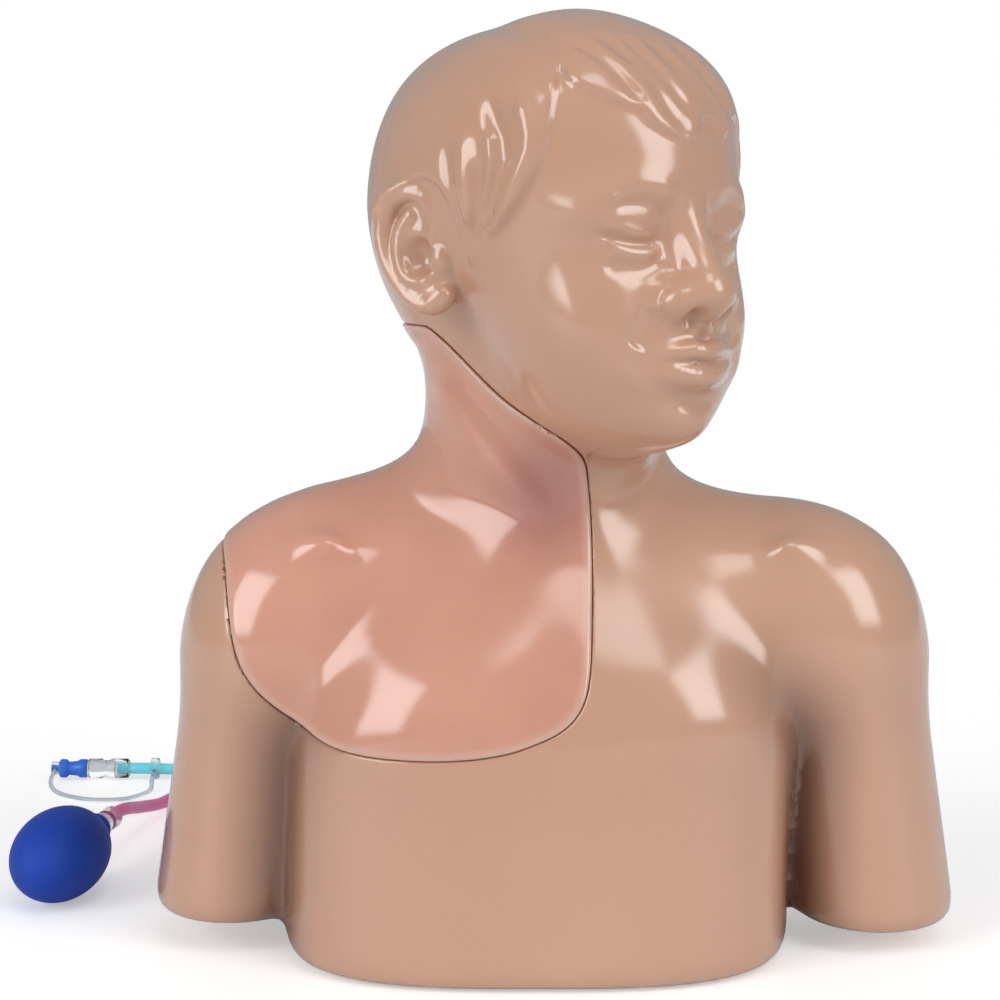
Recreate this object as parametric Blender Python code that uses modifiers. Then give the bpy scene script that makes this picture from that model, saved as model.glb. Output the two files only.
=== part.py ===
"""Ultrasound vascular access trainer: a hollow child mannequin bust with a soft tissue insert.

The bust is one moulded shell. Its skin is written as a signed distance, so that the same skin, moved in
or out by a named amount, gives the outside, the inside, the seat of the insert and the insert itself.
Metres, +Z up, the chest faces -Y, the origin is the middle of the base's underside.
"""

import math

import bmesh
import bpy
import numpy as np
from mathutils import Matrix, Vector

# Trunk, shoulders and arms
CHEST_BREADTH = 0.210
CHEST_DEPTH = 0.146
CHEST_TOP = 0.168
BASE_ROUNDING = 0.009
SHOULDER_HEIGHT = 0.146
SHOULDER_REACH = 0.120
SHOULDER_RADIUS = 0.036
ARM_SPREAD = 0.1418
ARM_RADIUS = 0.0345
ARM_CLEARANCES = (0.0130, 0.0085)
ARM_END_ROUNDING = 0.017
UPPER_BODY_SHIFT = 0.0077

# Neck and head
NECK_BREADTH = 0.096
NECK_DEPTH = 0.088
HEAD_LENGTH = 0.163
HEAD_BREADTH = 0.131
HEAD_HEIGHT = 0.171
HEAD_TURN = math.radians(40)
EYE_LINE = Vector((0.0085, -0.008, 0.297))
NAPE_LINE = EYE_LINE.z - 0.216 * HEAD_HEIGHT
JAW_LINE = EYE_LINE.z - 0.380 * HEAD_HEIGHT

# Shell and insert
SHELL_WALL = 0.004
INSERT_THICKNESS = 0.020
INSERT_PROUD = 0.001
INSERT_REAR = 0.024
FIT_GAP = 0.0004
SEAT_GAP = 0.0010

# Vessels, hoses and fittings
VESSEL_DEPTH = 0.0095
VEIN_DIAMETER = 0.008
ARTERY_DIAMETER = 0.006
HOSE_DIAMETER = 0.008
COUPLING_DIAMETER = 0.011
COUPLING_BORE = 0.004
COUPLING_SEAT = 0.003
SPOT_FACE_DEPTH = 0.0022
GROMMET_DIAMETER = 0.0135
GROMMET_FLANGE_DIAMETER = 0.020
GROMMET_FLANGE = 0.0025
GROMMET_GRIP = 0.0022
COUPLING_LENGTH = 0.018
BULB_DIAMETER = 0.041
BULB_LENGTH = 0.064
BULB_NECK_DIAMETER = 0.015
BULB_NECK_LENGTH = 0.010
COLLAR_LENGTH = 0.020
CONNECTOR_DIAMETER = 0.0105
CONNECTOR_LENGTH = 0.022
PLUG_DIAMETER = 0.0100
PLUG_LENGTH = 0.015
TETHER_DIAMETER = 0.0024
TETHER_RING_WALL = 0.0013
TETHER_RING_WIDTH = 0.0040
TOUCH_GAP = 0.0003

# Fineness of the sculpted surfaces
SCULPT_CELL = 0.0026
SHELL_TRIANGLES = 6400
INNER_TRIANGLES = 620
SEAT_SMOOTHING = 5
HEAD_SPARE = 0.006

# The head is drawn on a pattern in millimetres: half length, half breadth and half height
HEAD_PATTERN = Vector((83.0, 67.0, 85.5))

# The hair: its edge round the head as (degrees from the front, height over the eyes), and a degree's length
HAIR_THICKNESS = 2.8
HAIR_SPREAD = 1.15
HAIRLINE = [(-181, -47), (-150, -46), (-127, -38), (-117, -12), (-107, 12), (-96, 21), (-86, 19), (-80, 10),
            (-77.5, -1), (-74.5, -11), (-70, -2), (-67, 4), (-64, 0), (-56, 10), (-48, 24), (-44.5, 38),
            (-43, 50), (-41.5, 61), (-37, 56), (-26, 49.5), (-17, 46.5), (-13, 41), (-2, 35), (5, 43), (11, 43),
            (17, 38), (24, 44), (33, 45), (42, 37), (48, 23), (57, 9), (65, -1), (69, 5), (75, -10), (79, 8),
            (86, 19), (96, 21), (107, 12), (117, -12), (127, -38), (150, -46), (181, -47)]

# Grooves, and ridges with a negative depth, as (points on the head, width, depth)
HAIR_FOLDS = [
    ([(57, -44, 55), (44, -44, 66), (25, -38, 77), (0, -33, 82), (-28, -22, 83)], 3.6, 2.0),
    ([(24, -59, 53), (37, -62, 31), (31, -63, 12), (28, -62, 2)], 2.2, 2.4),
    ([(27, -66, 30), (25, -64, 8), (19, -62, -6)], 2.0, 1.8),
    ([(9, -67, 38), (13, -68, 18), (17, -64, 2), (17, -61, -12)], 1.9, 1.7),
    ([(37, -56, 55), (45, -57, 42), (47, -58, 31), (39, -60, 13), (31, -61, 2)], 2.8, -1.8),
    ([(30, -62, 42), (33, -64, 24), (27, -64, 6)], 2.2, -1.2),
    ([(18, -66, 40), (20, -67, 20), (21, -64, 0)], 2.8, -1.2),
    ([(43, -23, 77), (65, -15, 63), (76, -9, 47), (82, -2, 36)], 2.4, 1.8),
    ([(49, -13, 76), (67, -8, 62), (78, 0, 45)], 2.0, 1.4),
    ([(52, -3, 75), (72, 7, 57), (77, 20, 41)], 2.4, 1.7),
    ([(40, -34, 74), (60, -27, 62), (72, -20, 47)], 2.0, 1.1),
    ([(50, 10, 75), (66, 20, 58), (70, 30, 43)], 2.2, 1.4),
    ([(40, 24, 74), (55, 36, 57), (56, 44, 40)], 2.2, 1.3),
    ([(58, -18, 69), (72, -11, 54), (80, -4, 41)], 2.0, -0.9),
    ([(62, 0, 68), (75, 11, 50), (78, 18, 40)], 2.2, -1.0),
    ([(24, 59, 53), (37, 62, 31), (31, 63, 12), (28, 62, 2)], 2.2, 2.0),
    ([(27, 66, 30), (25, 64, 8), (19, 62, -6)], 2.0, 1.6),
    ([(9, 67, 38), (13, 68, 18), (17, 64, 2)], 1.9, 1.5),
    ([(37, 56, 55), (45, 57, 42), (46, 58, 28), (38, 60, 10)], 2.8, -1.5),
]
BACK_STRANDS = 10


def new_collection(name):
    collection = bpy.data.collections.new(name)
    bpy.context.scene.collection.children.link(collection)
    return collection


for leftover in list(bpy.data.objects):
    bpy.data.objects.remove(leftover, do_unlink=True)
PARTS = new_collection("ultrasound_vascular_access_trainer")
CUTTERS = new_collection("cutters")


def material(name, colour, roughness, transmission=0.0):
    made = bpy.data.materials.new(name)
    made.use_nodes = True
    shader = made.node_tree.nodes["Principled BSDF"]
    shader.inputs["Base Color"].default_value = (*colour, 1.0)
    shader.inputs["Roughness"].default_value = roughness
    shader.inputs["Transmission Weight"].default_value = transmission
    return made


SKIN_PLASTIC = material("skin_plastic", (0.62, 0.37, 0.26), 0.12)
TISSUE_GEL = material("tissue_gel", (0.68, 0.33, 0.25), 0.15)
VEIN_BLUE = material("vein_blue", (0.10, 0.30, 0.70), 0.4)
ARTERY_RED = material("artery_red", (0.75, 0.10, 0.12), 0.4)
BLUE_RUBBER = material("blue_rubber", (0.016, 0.18, 0.42), 0.5)
PLUG_BLUE = material("plug_blue", (0.03, 0.19, 0.87), 0.35)
CLEAR_PLASTIC = material("clear_plastic", (0.85, 0.90, 0.93), 0.1, 0.6)
PINK_HOSE = material("pink_hose", (0.95, 0.13, 0.38), 0.15, 0.3)
CYAN_HOSE = material("cyan_hose", (0.13, 0.75, 1.0), 0.15, 0.3)
GROMMET_RUBBER = material("grommet_rubber", (0.05, 0.05, 0.055), 0.6)


def smooth_union(a, b, width):
    """The nearer of two distances, rounded with an even curvature where they meet."""
    overlap = np.maximum(width - np.abs(a - b), 0.0) / width
    return np.minimum(a, b) - overlap**3 * width / 6


def smooth_cut(a, b, width):
    """The first solid with the second taken out of it, with a rounded rim."""
    return -smooth_union(-a, b, width)


def smooth_common(a, b, width):
    return -smooth_union(-a, -b, width)


def egg(p, centre, radii):
    """Distance to an ellipsoid with its axes along X, Y and Z."""
    offset = p - np.array(centre)
    near = np.linalg.norm(offset / np.array(radii), axis=1)
    slope = np.linalg.norm(offset / np.array(radii) ** 2, axis=1)
    return near * (near - 1) / np.maximum(slope, 1e-9)


def rod(p, start, end, start_radius, end_radius):
    """Distance to a straight tapered rod with round ends."""
    start, along = np.array(start), np.array(end) - np.array(start)
    share = np.clip((p - start) @ along / (along @ along), 0, 1)
    centre = start + share[:, None] * along
    return np.linalg.norm(p - centre, axis=1) - (start_radius + (end_radius - start_radius) * share)


def curve_points(points, count):
    """Evenly numbered points on a smooth Catmull-Rom curve through a few chosen ones."""
    chosen = [Vector(point) for point in points]
    chosen = [2 * chosen[0] - chosen[1], *chosen, 2 * chosen[-1] - chosen[-2]]
    found = []
    for step in range(count):
        at = step * (len(chosen) - 3) / (count - 1)
        first = min(int(at), len(chosen) - 4)
        t = at - first
        a, b, c, d = chosen[first : first + 4]
        found.append(0.5 * (2 * b + (c - a) * t + (2 * a - 5 * b + 4 * c - d) * t**2
                            + (3 * b - a - 3 * c + d) * t**3))
    return found


def from_line(p, points, count=9):
    """Distance to a smooth curve, and how far along it the nearest place is, from 0 to 1."""
    line = [np.array(point) for point in curve_points(points, count)]
    nearest = np.full(len(p), np.inf)
    place = np.zeros(len(p))
    for number, (start, end) in enumerate(zip(line, line[1:])):
        along = end - start
        share = np.clip((p - start) @ along / (along @ along), 0, 1)
        gap = np.linalg.norm(p - start - share[:, None] * along, axis=1)
        place = np.where(gap < nearest, (number + share) / (count - 1), place)
        nearest = np.minimum(nearest, gap)
    return nearest, place


def hump(p, centre, spread, height):
    """How far a soft swelling, or a hollow with a negative height, moves the surface."""
    return height * np.exp(-(((p - np.array(centre)) / np.array(spread)) ** 2).sum(axis=1))


def fold(p, points, width, height):
    """A ridge, or a crease with a negative height, along a curve, fading out at both ends."""
    line = np.array(curve_points(points, 9))
    reach = 3 * width
    near = ((p > line.min(axis=0) - reach) & (p < line.max(axis=0) + reach)).all(axis=1)
    moved = np.zeros(len(p))
    gap, place = from_line(p[near], points)
    fade = np.clip(5 * np.minimum(place, 1 - place), 0, 1)
    moved[near] = height * fade**2 * (3 - 2 * fade) * np.exp(-((gap / width) ** 2))
    return moved


def drawn(q, points, width, height):
    """A fold drawn straight onto the front of the face, along a curve given as (across, up)."""
    return fold(q * [0, 1, 1], [(0, across, up) for across, up in points], width, height) * (q[:, 0] > 25)


def dent(q, across, up, spread, height):
    """A hump drawn straight onto the front of the face, whose spread is (across, up)."""
    return hump(q * [0, 1, 1], (0, across, up), (1, *spread), height) * (q[:, 0] > 25)


def trunk(p):
    """The trunk: an oval column with a flat, round-edged base and a domed top, leaning to its left."""
    lean = UPPER_BODY_SHIFT * np.clip(p[:, 2] / CHEST_TOP, 0, 1) ** 2
    dome_start = 0.5 * CHEST_TOP
    x = (p[:, 0] - lean) / (CHEST_BREADTH / 2)
    y = (p[:, 1] - 0.002) / (CHEST_DEPTH / 2)
    z = np.maximum(p[:, 2] - dome_start, 0) / (CHEST_TOP - dome_start)
    round_share = (np.abs(x) ** 2.8 + np.abs(y) ** 2.8) ** (2 / 2.8) + z**2
    size = np.sqrt(np.maximum(round_share, 1e-9))
    reach = np.linalg.norm(np.stack([p[:, 0] - lean, p[:, 1], z * (CHEST_TOP - dome_start)]), axis=0)
    return reach * (1 - 1 / np.maximum(size, 1e-3))


def shoulders_and_arms(p):
    """The yoke across the shoulders, the deltoids, and the upper arms with their closed, round ends."""
    middle = UPPER_BODY_SHIFT
    yoke_radius = SHOULDER_RADIUS - 0.002
    yoke = rod(p * [1, 0.92, 1], (middle - SHOULDER_REACH + 0.028, 0.006, SHOULDER_HEIGHT),
               (middle + SHOULDER_REACH - 0.028, 0.006, SHOULDER_HEIGHT), yoke_radius, yoke_radius)
    body = yoke
    for side, clearance in zip((-1, 1), ARM_CLEARANCES):
        joint = (middle + side * (SHOULDER_REACH - 0.006), 0.004, SHOULDER_HEIGHT - 0.013)
        armpit = (middle + side * SHOULDER_REACH, 0.005, SHOULDER_HEIGHT - 0.030)
        foot = (middle + side * ARM_SPREAD, 0.008, -0.03)
        deltoid = egg(p, joint, (SHOULDER_RADIUS * 0.99, SHOULDER_RADIUS * 1.05, SHOULDER_RADIUS * 1.20))
        arm = rod(p * [1, 0.93, 1], armpit, foot, ARM_RADIUS * 0.98, ARM_RADIUS)
        arm = smooth_common(arm, clearance - p[:, 2], ARM_END_ROUNDING)
        body = smooth_union(body, smooth_union(deltoid, arm, 0.03), 0.035)
    return body


def neck(p):
    """The neck, rising a little forwards, and the slopes of the shoulder muscles behind it."""
    squeeze = NECK_BREADTH / NECK_DEPTH
    column = rod(p * [1, squeeze, 1], (0.005, 0.014, 0.150), (0.002, 0.006, 0.270), NECK_BREADTH / 2 + 0.001,
                 NECK_BREADTH / 2 - 0.001)
    for side, drop in ((-1, 0.0), (1, 0.010)):
        muscle = [(0.003 + side * 0.024, 0.020, 0.187 - drop),
                  (UPPER_BODY_SHIFT + side * 0.088, 0.014, SHOULDER_HEIGHT + 0.021 - drop),
                  (UPPER_BODY_SHIFT + side * 0.116, 0.010, SHOULDER_HEIGHT)]
        gap, place = from_line(p, muscle, 9)
        column = smooth_union(column, gap - 0.021 + 0.004 * place**3, 0.040)
    return column


def head_axes():
    """The head's own directions: forwards, to its left, and up."""
    turn = HEAD_TURN
    return np.array([[math.sin(turn), -math.cos(turn), 0], [math.cos(turn), math.sin(turn), 0], [0, 0, 1]])


def head_scale():
    return np.array([HEAD_LENGTH, HEAD_BREADTH, HEAD_HEIGHT]) / 2 / np.array(HEAD_PATTERN)


def on_pattern(p):
    """Points of the model as millimetres on the head's pattern."""
    return (p - np.array(EYE_LINE)) @ head_axes().T / head_scale()


def cranium_and_jaw(q):
    """The skull, the full cheeks and the small jaw of a young child, with no features."""
    head = egg(q, (-3, 0, 19), (82, 66.5, 68))
    for side in (-1, 1):
        head = head - hump(q, (44, side * 36, 56), (30, 30, 26), 5.5)
        head = head + hump(q, (-36, side * 28, 72), (36, 34, 20), 2.0)
        head = head + hump(q, (64, side * 42, 26), (26, 22, 20), 1.0)
    head = head + hump(q, (-14, -12, 86), (22, 24, 16), 3.6) - hump(q, (-50, -24, 58), (20, 22, 22), 2.6)
    head = smooth_union(head, egg(q, (-34, 0, -8), (46, 50, 48)), 30)
    face = egg(q, (31, 0, -22), (45, 51, 58))
    head = smooth_union(head, face, 26)
    jaw = egg(q, (40, 0, -58), (40, 36, 28))
    return smooth_union(head, jaw, 26)


def eyes(q, head):
    """Closed lids under a soft brow: a rounded lid, the slit, the crease over it and the fold below."""
    for side in (-1, 1):
        head = head + dent(q, side * 21, 3, (17, 11), 6.0) + dent(q, side * 11.5, 0, (5, 8), 2.2)
        head = head - hump(q, (66, side * 40, 9), (15, 12, 9), 4.0)
        head = head - drawn(q, [(side * 8, 9), (side * 19, 16), (side * 31, 16), (side * 42, 10)], 4.5, 1.8)
        head = head - dent(q, side * 25.5, 2.5, (11, 7.5), 5.4)
        slit = [(side * 38, 0), (side * 32, -2.8), (side * 25, -4.8), (side * 18, -4.8), (side * 12, -3)]
        lashes = [(side * 36, 2.4), (side * 30, 0.2), (side * 24, -1.6), (side * 17, -1.6)]
        crease = [(side * 38, 5), (side * 32, 9.5), (side * 23, 11), (side * 15, 7), (side * 13, 3)]
        pouch = [(side * 36, -6), (side * 29, -8.8), (side * 21, -9.2), (side * 13, -7)]
        trough = [(side * 36, -12), (side * 29, -15), (side * 20, -15), (side * 13, -10)]
        head = head + drawn(q, slit, 1.9, 1.5) - drawn(q, lashes, 2.2, 0.5)
        head = head + drawn(q, crease, 2.0, 1.2) - drawn(q, pouch, 3.2, 1.3)
        head = head + drawn(q, trough, 3.4, 1.4)
    return head


def nose(q, head):
    """A small, broad nose with a low bridge, round wings and shallow nostrils."""
    shape = smooth_union(rod(q, (73, 0, 7), (86.5, 0, -16), 5.0, 7.5), egg(q, (88, 0, -20.5), (9, 9.2, 7.8)), 9)
    for side in (-1, 1):
        shape = smooth_union(shape, egg(q, (80, side * 11.2, -24), (8.6, 6.0, 6.2)), 9)
    head = smooth_union(head, shape, 15)
    head = smooth_union(head, rod(q, (88, 0, -26), (79, 0, -32), 3.4, 4.2), 8)
    for side in (-1, 1):
        head = head + hump(q, (86.5, side * 7.0, -31), (6.5, 3.6, 4.2), 2.4)
        head = head + fold(q, [(83, side * 17, -17), (79, side * 19, -24), (79, side * 17, -30)], 2.6, 1.1)
    return head


def mouth(q, head):
    """Two soft lips that meet in a gentle smile, the groove over them and the dimples beside them."""
    head = head - hump(q, (78, 0, -44), (18, 21, 15), 4.6)
    upper, place = from_line(q, [(73, -21, -46.5), (80, -13, -44.8), (85, -5, -43.2), (86, 0, -43.8),
                                 (85, 5, -43.2), (80, 13, -44.8), (73, 21, -46.5)], 19)
    upper = upper - 1.4 - 2.2 * np.sin(math.pi * place)
    lower, place = from_line(q, [(74, -19, -48.4), (79.5, -11, -50.8), (83, 0, -52.0), (79.5, 11, -50.8),
                                 (74, 19, -48.4)], 19)
    lower = lower - 1.2 - 4.2 * np.sin(math.pi * place)
    head = smooth_union(smooth_union(head, lower, 6), upper, 5)
    smile = [(-25, -46), (-18, -46.8), (-9, -46.9), (0, -47.8), (9, -46.9), (18, -46.8), (25, -46)]
    head = head + drawn(q, smile, 1.7, 1.0)
    head = head + drawn(q, [(0, -30), (0, -36), (0, -42)], 3.4, 1.2)
    for side in (-1, 1):
        head = head + dent(q, side * 25, -47.5, (4.2, 4.2), 1.5)
        head = head - dent(q, side * 31, -51, (6, 7), 1.2)
        head = head - hump(q, (60, side * 36, -37), (24, 21, 21), 7.5)
        head = head + drawn(q, [(side * 18, -27), (side * 23, -35), (side * 27, -43)], 4.0, 1.5)
    head = head + dent(q, 0, -61, (14, 4.6), 3.0)
    return head - hump(q, (77, 0, -74), (15, 15, 11), 5.0)


def ear(q, side):
    """An outer ear: a dished oval with a rolled rim, an inner ridge, a hollow, the tragus and a lobe."""
    local = (q - np.array([-7.0, side * 64.5, -6.0])) * [1, side, 1]
    tilt = math.radians(14)
    forward = local[:, 0] * math.cos(tilt) + local[:, 2] * math.sin(tilt)
    lift = -local[:, 0] * math.sin(tilt) + local[:, 2] * math.cos(tilt)
    placed = np.stack([forward, local[:, 1] + 0.30 * forward, lift], axis=1)
    pinna = egg(placed, (-3, -6, 0), (14.5, 10, 24))
    helix = [(3, 0, 1), (8, 0.4, 7), (8.5, 1, 15), (3, 2, 21.5), (-5, 2.6, 22.5), (-12, 3, 18), (-15.5, 3.2, 9),
             (-15, 3, -1), (-12, 2.4, -10), (-7, 2, -18), (-1, 1, -22), (5, 0, -19)]
    inner_ridge = [(-2, 2, 14), (-7.5, 2.6, 8), (-8.5, 2.8, -1), (-6, 2.6, -9), (0, 2, -12)]
    rim = from_line(placed, helix, 25)[0] - 3.0
    inner = from_line(placed, inner_ridge, 11)[0] - 2.5
    pinna = smooth_cut(pinna, egg(placed, (-11, 6, 3), (3.2, 4.5, 12)), 4)
    pinna = smooth_union(smooth_union(pinna, rim, 5), inner, 6)
    pinna = smooth_cut(pinna, egg(placed, (-0.5, 5.5, -2.5), (6.0, 9.0, 7.8)), 5)
    pinna = smooth_union(pinna, egg(placed, (7.5, -0.6, -5), (3.4, 3.8, 5)), 5)
    return smooth_union(pinna, egg(placed, (0, -1.5, -19), (7, 4.5, 6)), 6)


def hairline_gap(q):
    """How far each point lies above the hairline, or below it if negative, in millimetres over the head."""
    edge = [(angle * HAIR_SPREAD, height, 0) for angle, height in HAIRLINE]
    line = np.array([point.to_tuple() for point in curve_points(edge, 3 * len(HAIRLINE))])
    across = np.degrees(np.arctan2(q[:, 1], q[:, 0])) * HAIR_SPREAD
    chart = np.stack([across, q[:, 2], 0 * across], axis=1)
    gap = np.full(len(q), np.inf)
    for start, end in zip(line, line[1:]):
        along = end - start
        share = np.clip((chart - start) @ along / (along @ along), 0, 1)
        gap = np.minimum(gap, np.linalg.norm(chart - start - share[:, None] * along, axis=1))
    return np.where(q[:, 2] > np.interp(across, line[:, 0], line[:, 1]), gap, -gap)


def hair(q):
    """How far the moulded cap of hair stands off the head, with its locks and the grooves between them."""
    thick = HAIR_THICKNESS * (0.45 + 0.55 * np.clip((q[:, 2] + 30) / 40, 0, 1))
    height = thick / (1 + np.exp(-hairline_gap(q) / 0.8))
    for points, width, depth in HAIR_FOLDS:
        height = height - fold(q, points, width, depth)
    for number in range(BACK_STRANDS):
        turn = math.radians(112 + 136 * number / (BACK_STRANDS - 1))
        sweep = math.radians(9 * (-1) ** number)
        strand = []
        for low in (1.25, 0.85, 0.45, 0.1, -0.25):
            at = turn + sweep * low
            strand.append((-3 + 82 * math.cos(low) * math.cos(at), 66 * math.cos(low) * math.sin(at),
                           19 + 68 * math.sin(low)))
        height = height - fold(q, strand, 2.6, 0.7)
    return height


def skin(p):
    """Signed distance in metres from each point to the outside of the bust, less than zero inside."""
    armpit_share = np.clip((p[:, 2] - 0.075) / 0.065, 0, 1)
    web = 0.010 + 0.030 * armpit_share**2 * (3 - 2 * armpit_share)
    body = smooth_union(trunk(p), shoulders_and_arms(p), web)
    body = smooth_union(body, neck(p), 0.045)
    middle = UPPER_BODY_SHIFT
    for side in (-1, 1):
        body = body - hump(p, (middle + side * 0.052, -0.070, 0.118), (0.042, 0.030, 0.030), 0.0040)
        body = body - fold(p, [(middle + side * 0.012, -0.060, 0.168), (middle + side * 0.060, -0.044, 0.178),
                               (middle + side * 0.112, -0.020, 0.172)], 0.0075, 0.0042)
        body = body + hump(p, (middle + side * 0.050, -0.040, 0.190), (0.030, 0.022, 0.012), 0.0040)
    body = body + hump(p, (middle + 0.004, -0.052, 0.178), (0.011, 0.015, 0.013), 0.0060)
    right_muscle = [(-0.040, -0.010, 0.245), (-0.014, -0.034, 0.205), (0.010, -0.052, 0.176)]
    left_muscle = [(0.046, -0.015, 0.220), (0.036, -0.035, 0.198), (0.018, -0.052, 0.176)]
    breastbone = [(0.002, -0.072, 0.080), (0.004, -0.072, 0.115), (0.012, -0.066, 0.155)]
    body = body - fold(p, right_muscle, 0.009, 0.0035) - fold(p, left_muscle, 0.008, 0.0040)
    body = body + fold(p, breastbone, 0.010, 0.0015)
    high = p[:, 2] > EYE_LINE.z - 0.75 * HEAD_HEIGHT
    q = on_pattern(p[high])
    head = mouth(q, nose(q, eyes(q, cranium_and_jaw(q))))
    for side in (-1, 1):
        head = smooth_union(head, ear(q, side), 4)
    body[high] = smooth_union(body[high], (head - hair(q)) * float(head_scale().mean()), 0.022)
    return smooth_common(body, -p[:, 2], 2 * BASE_ROUNDING)


def slope_of(distance, p, step=0.00012):
    """The distance at each point and its direction of increase."""
    middle = distance(p)
    rise = np.stack([distance(p + step * np.eye(3)[axis]) - middle for axis in range(3)], axis=1) / step
    return middle, rise


def pulled_to(mesh, level, rounds):
    """Moves a mesh's points onto the skin raised by a level."""
    points = np.empty(len(mesh.vertices) * 3)
    mesh.vertices.foreach_get("co", points)
    points = points.reshape(-1, 3)
    for _ in range(rounds):
        distance, rise = slope_of(skin, points)
        steep = np.maximum((rise**2).sum(axis=1), 0.3)
        step = np.clip((distance - level) / steep, -0.004, 0.004)
        points = points - step[:, None] * rise
    mesh.vertices.foreach_set("co", points.ravel())
    mesh.update()


def finished(obj):
    """Applies an object's modifiers and returns it, with plain mesh data."""
    graph = bpy.context.evaluated_depsgraph_get()
    made = bpy.data.meshes.new_from_object(obj.evaluated_get(graph))
    obj.modifiers.clear()
    obj.data = made
    return obj


def link(name, mesh, collection):
    obj = bpy.data.objects.new(name, mesh)
    collection.objects.link(obj)
    return obj


def as_cutter(obj):
    for collection in list(obj.users_collection):
        collection.objects.unlink(obj)
    CUTTERS.objects.link(obj)
    obj.hide_render = True
    obj.display_type = "WIRE"
    return obj


def add_egg(mesh, centre, radii, turn=0.0):
    place = Matrix.Translation(centre) @ Matrix.Rotation(turn, 4, "Z") @ Matrix.Diagonal((*radii, 1))
    bmesh.ops.create_uvsphere(mesh, u_segments=24, v_segments=16, radius=1, matrix=place)


def add_column(mesh, low, high, low_radius, high_radius):
    low, high = Vector(low), Vector(high)
    turn = (high - low).to_track_quat("Z", "Y").to_matrix().to_4x4()
    bmesh.ops.create_cone(mesh, cap_ends=True, segments=32, radius1=low_radius, radius2=high_radius,
                          depth=(high - low).length, matrix=Matrix.Translation((low + high) / 2) @ turn)


def rough_bust(level):
    """The masses of the bust as plain solids, which are joined, evened out and then pulled to the skin."""
    mesh = bmesh.new()
    middle = UPPER_BODY_SHIFT
    half = Matrix.Diagonal((CHEST_BREADTH / 2 + level, CHEST_DEPTH / 2 + level, 1, 1))
    base = max(-level, 0)
    bmesh.ops.create_cone(mesh, cap_ends=True, segments=48, radius1=1, radius2=1, depth=0.6 * CHEST_TOP,
                          matrix=Matrix.Translation((0, 0, 0.3 * CHEST_TOP + base)) @ half)
    add_egg(mesh, (middle, 0, 0.6 * CHEST_TOP), (CHEST_BREADTH / 2 + level, CHEST_DEPTH / 2 + level,
                                                 0.4 * CHEST_TOP + level))
    for side, clearance in zip((-1, 1), ARM_CLEARANCES):
        joint = Vector((middle + side * SHOULDER_REACH, 0.004, SHOULDER_HEIGHT - 0.014))
        foot = Vector((middle + side * ARM_SPREAD, 0.008, clearance + base))
        add_egg(mesh, joint, [SHOULDER_RADIUS + level] * 3)
        add_column(mesh, foot, joint, ARM_RADIUS + level, ARM_RADIUS + level)
        add_column(mesh, Vector((middle, 0.006, SHOULDER_HEIGHT)), joint + Vector((0, 0, 0.014)),
                   SHOULDER_RADIUS + level, SHOULDER_RADIUS + level)
        add_column(mesh, (middle, 0.016, 0.21), (middle + side * 0.085, 0.012, SHOULDER_HEIGHT + 0.008),
                   0.024 + level, 0.022 + level)
    neck_radius = NECK_BREADTH / 2 + level
    add_column(mesh, (0.006, 0.014, 0.14), (0.003, 0.006, 0.27), neck_radius, neck_radius)
    scale = head_scale()
    turn = HEAD_TURN - math.pi / 2
    masses = [((-3, 0, 19), (82, 67, 68)), ((-34, 0, -8), (46, 50, 48)), ((31, 0, -22), (45, 51, 58)),
              ((40, 0, -58), (40, 38, 28))]
    if level >= 0:
        masses += [((80, 0, -14), (16, 14, 20)), ((76, 0, -46), (12, 22, 12)), ((-8, 66, -6), (15, 8, 24)),
                   ((-8, -66, -6), (15, 8, 24))]
    spare = HEAD_SPARE if level >= 0 else 0
    for centre, radii in masses:
        place = Vector(np.array(centre) * scale @ head_axes()) + EYE_LINE
        add_egg(mesh, place, Vector(np.array(radii) * scale + level + spare), turn)
    made = bpy.data.meshes.new("rough_bust")
    mesh.to_mesh(made)
    mesh.free()
    return made


def evened(obj, cell):
    remesh = obj.modifiers.new("even_cells", "REMESH")
    remesh.mode = "VOXEL"
    remesh.voxel_size = cell
    return finished(obj)


def thinned(obj, triangles):
    """Fewer triangles, kept where the surface bends most."""
    obj.data.calc_loop_triangles()
    fewer = obj.modifiers.new("fewer_faces", "DECIMATE")
    fewer.ratio = min(1.0, triangles / len(obj.data.loop_triangles))
    return finished(obj)


def sculpted(name, level, cell, triangles, rounding=0):
    """A closed mesh of the skin at a level, with its creases rounded off by a number of smoothing steps."""
    obj = link(name, rough_bust(level), PARTS)
    evened(obj, 1.2 * cell)
    pulled_to(obj.data, level, 3)
    evened(obj, cell)
    pulled_to(obj.data, level, 4)
    if rounding:
        soften = obj.modifiers.new("rounded_creases", "SMOOTH")
        soften.iterations = rounding
        finished(obj)
    return thinned(obj, triangles)


def boolean(obj, other, operation):
    """Cuts, joins or keeps the common part, and leaves the other object as it was."""
    step = obj.modifiers.new("boolean", "BOOLEAN")
    step.operation = operation
    step.object = other
    return finished(obj)


def copy_of(obj, name):
    return as_cutter(link(name, obj.data.copy(), PARTS))


def moved_out(obj, distance):
    """The same closed mesh with its faces moved outwards, or inwards with a negative distance."""
    shift = obj.modifiers.new("shift", "DISPLACE")
    shift.strength = distance
    shift.mid_level = 0
    return finished(obj)


def mesh_of_curve(curve):
    """A curve object made a closed mesh, with its caps welded to its sides."""
    graph = bpy.context.evaluated_depsgraph_get()
    made = bpy.data.meshes.new_from_object(curve.evaluated_get(graph))
    mesh = bmesh.new()
    mesh.from_mesh(made)
    bmesh.ops.remove_doubles(mesh, verts=mesh.verts, dist=0.00001)
    mesh.transform(curve.matrix_world)
    mesh.to_mesh(made)
    mesh.free()
    obj = link(curve.name + "_mesh", made, PARTS)
    bpy.data.objects.remove(curve, do_unlink=True)
    return obj


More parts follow.
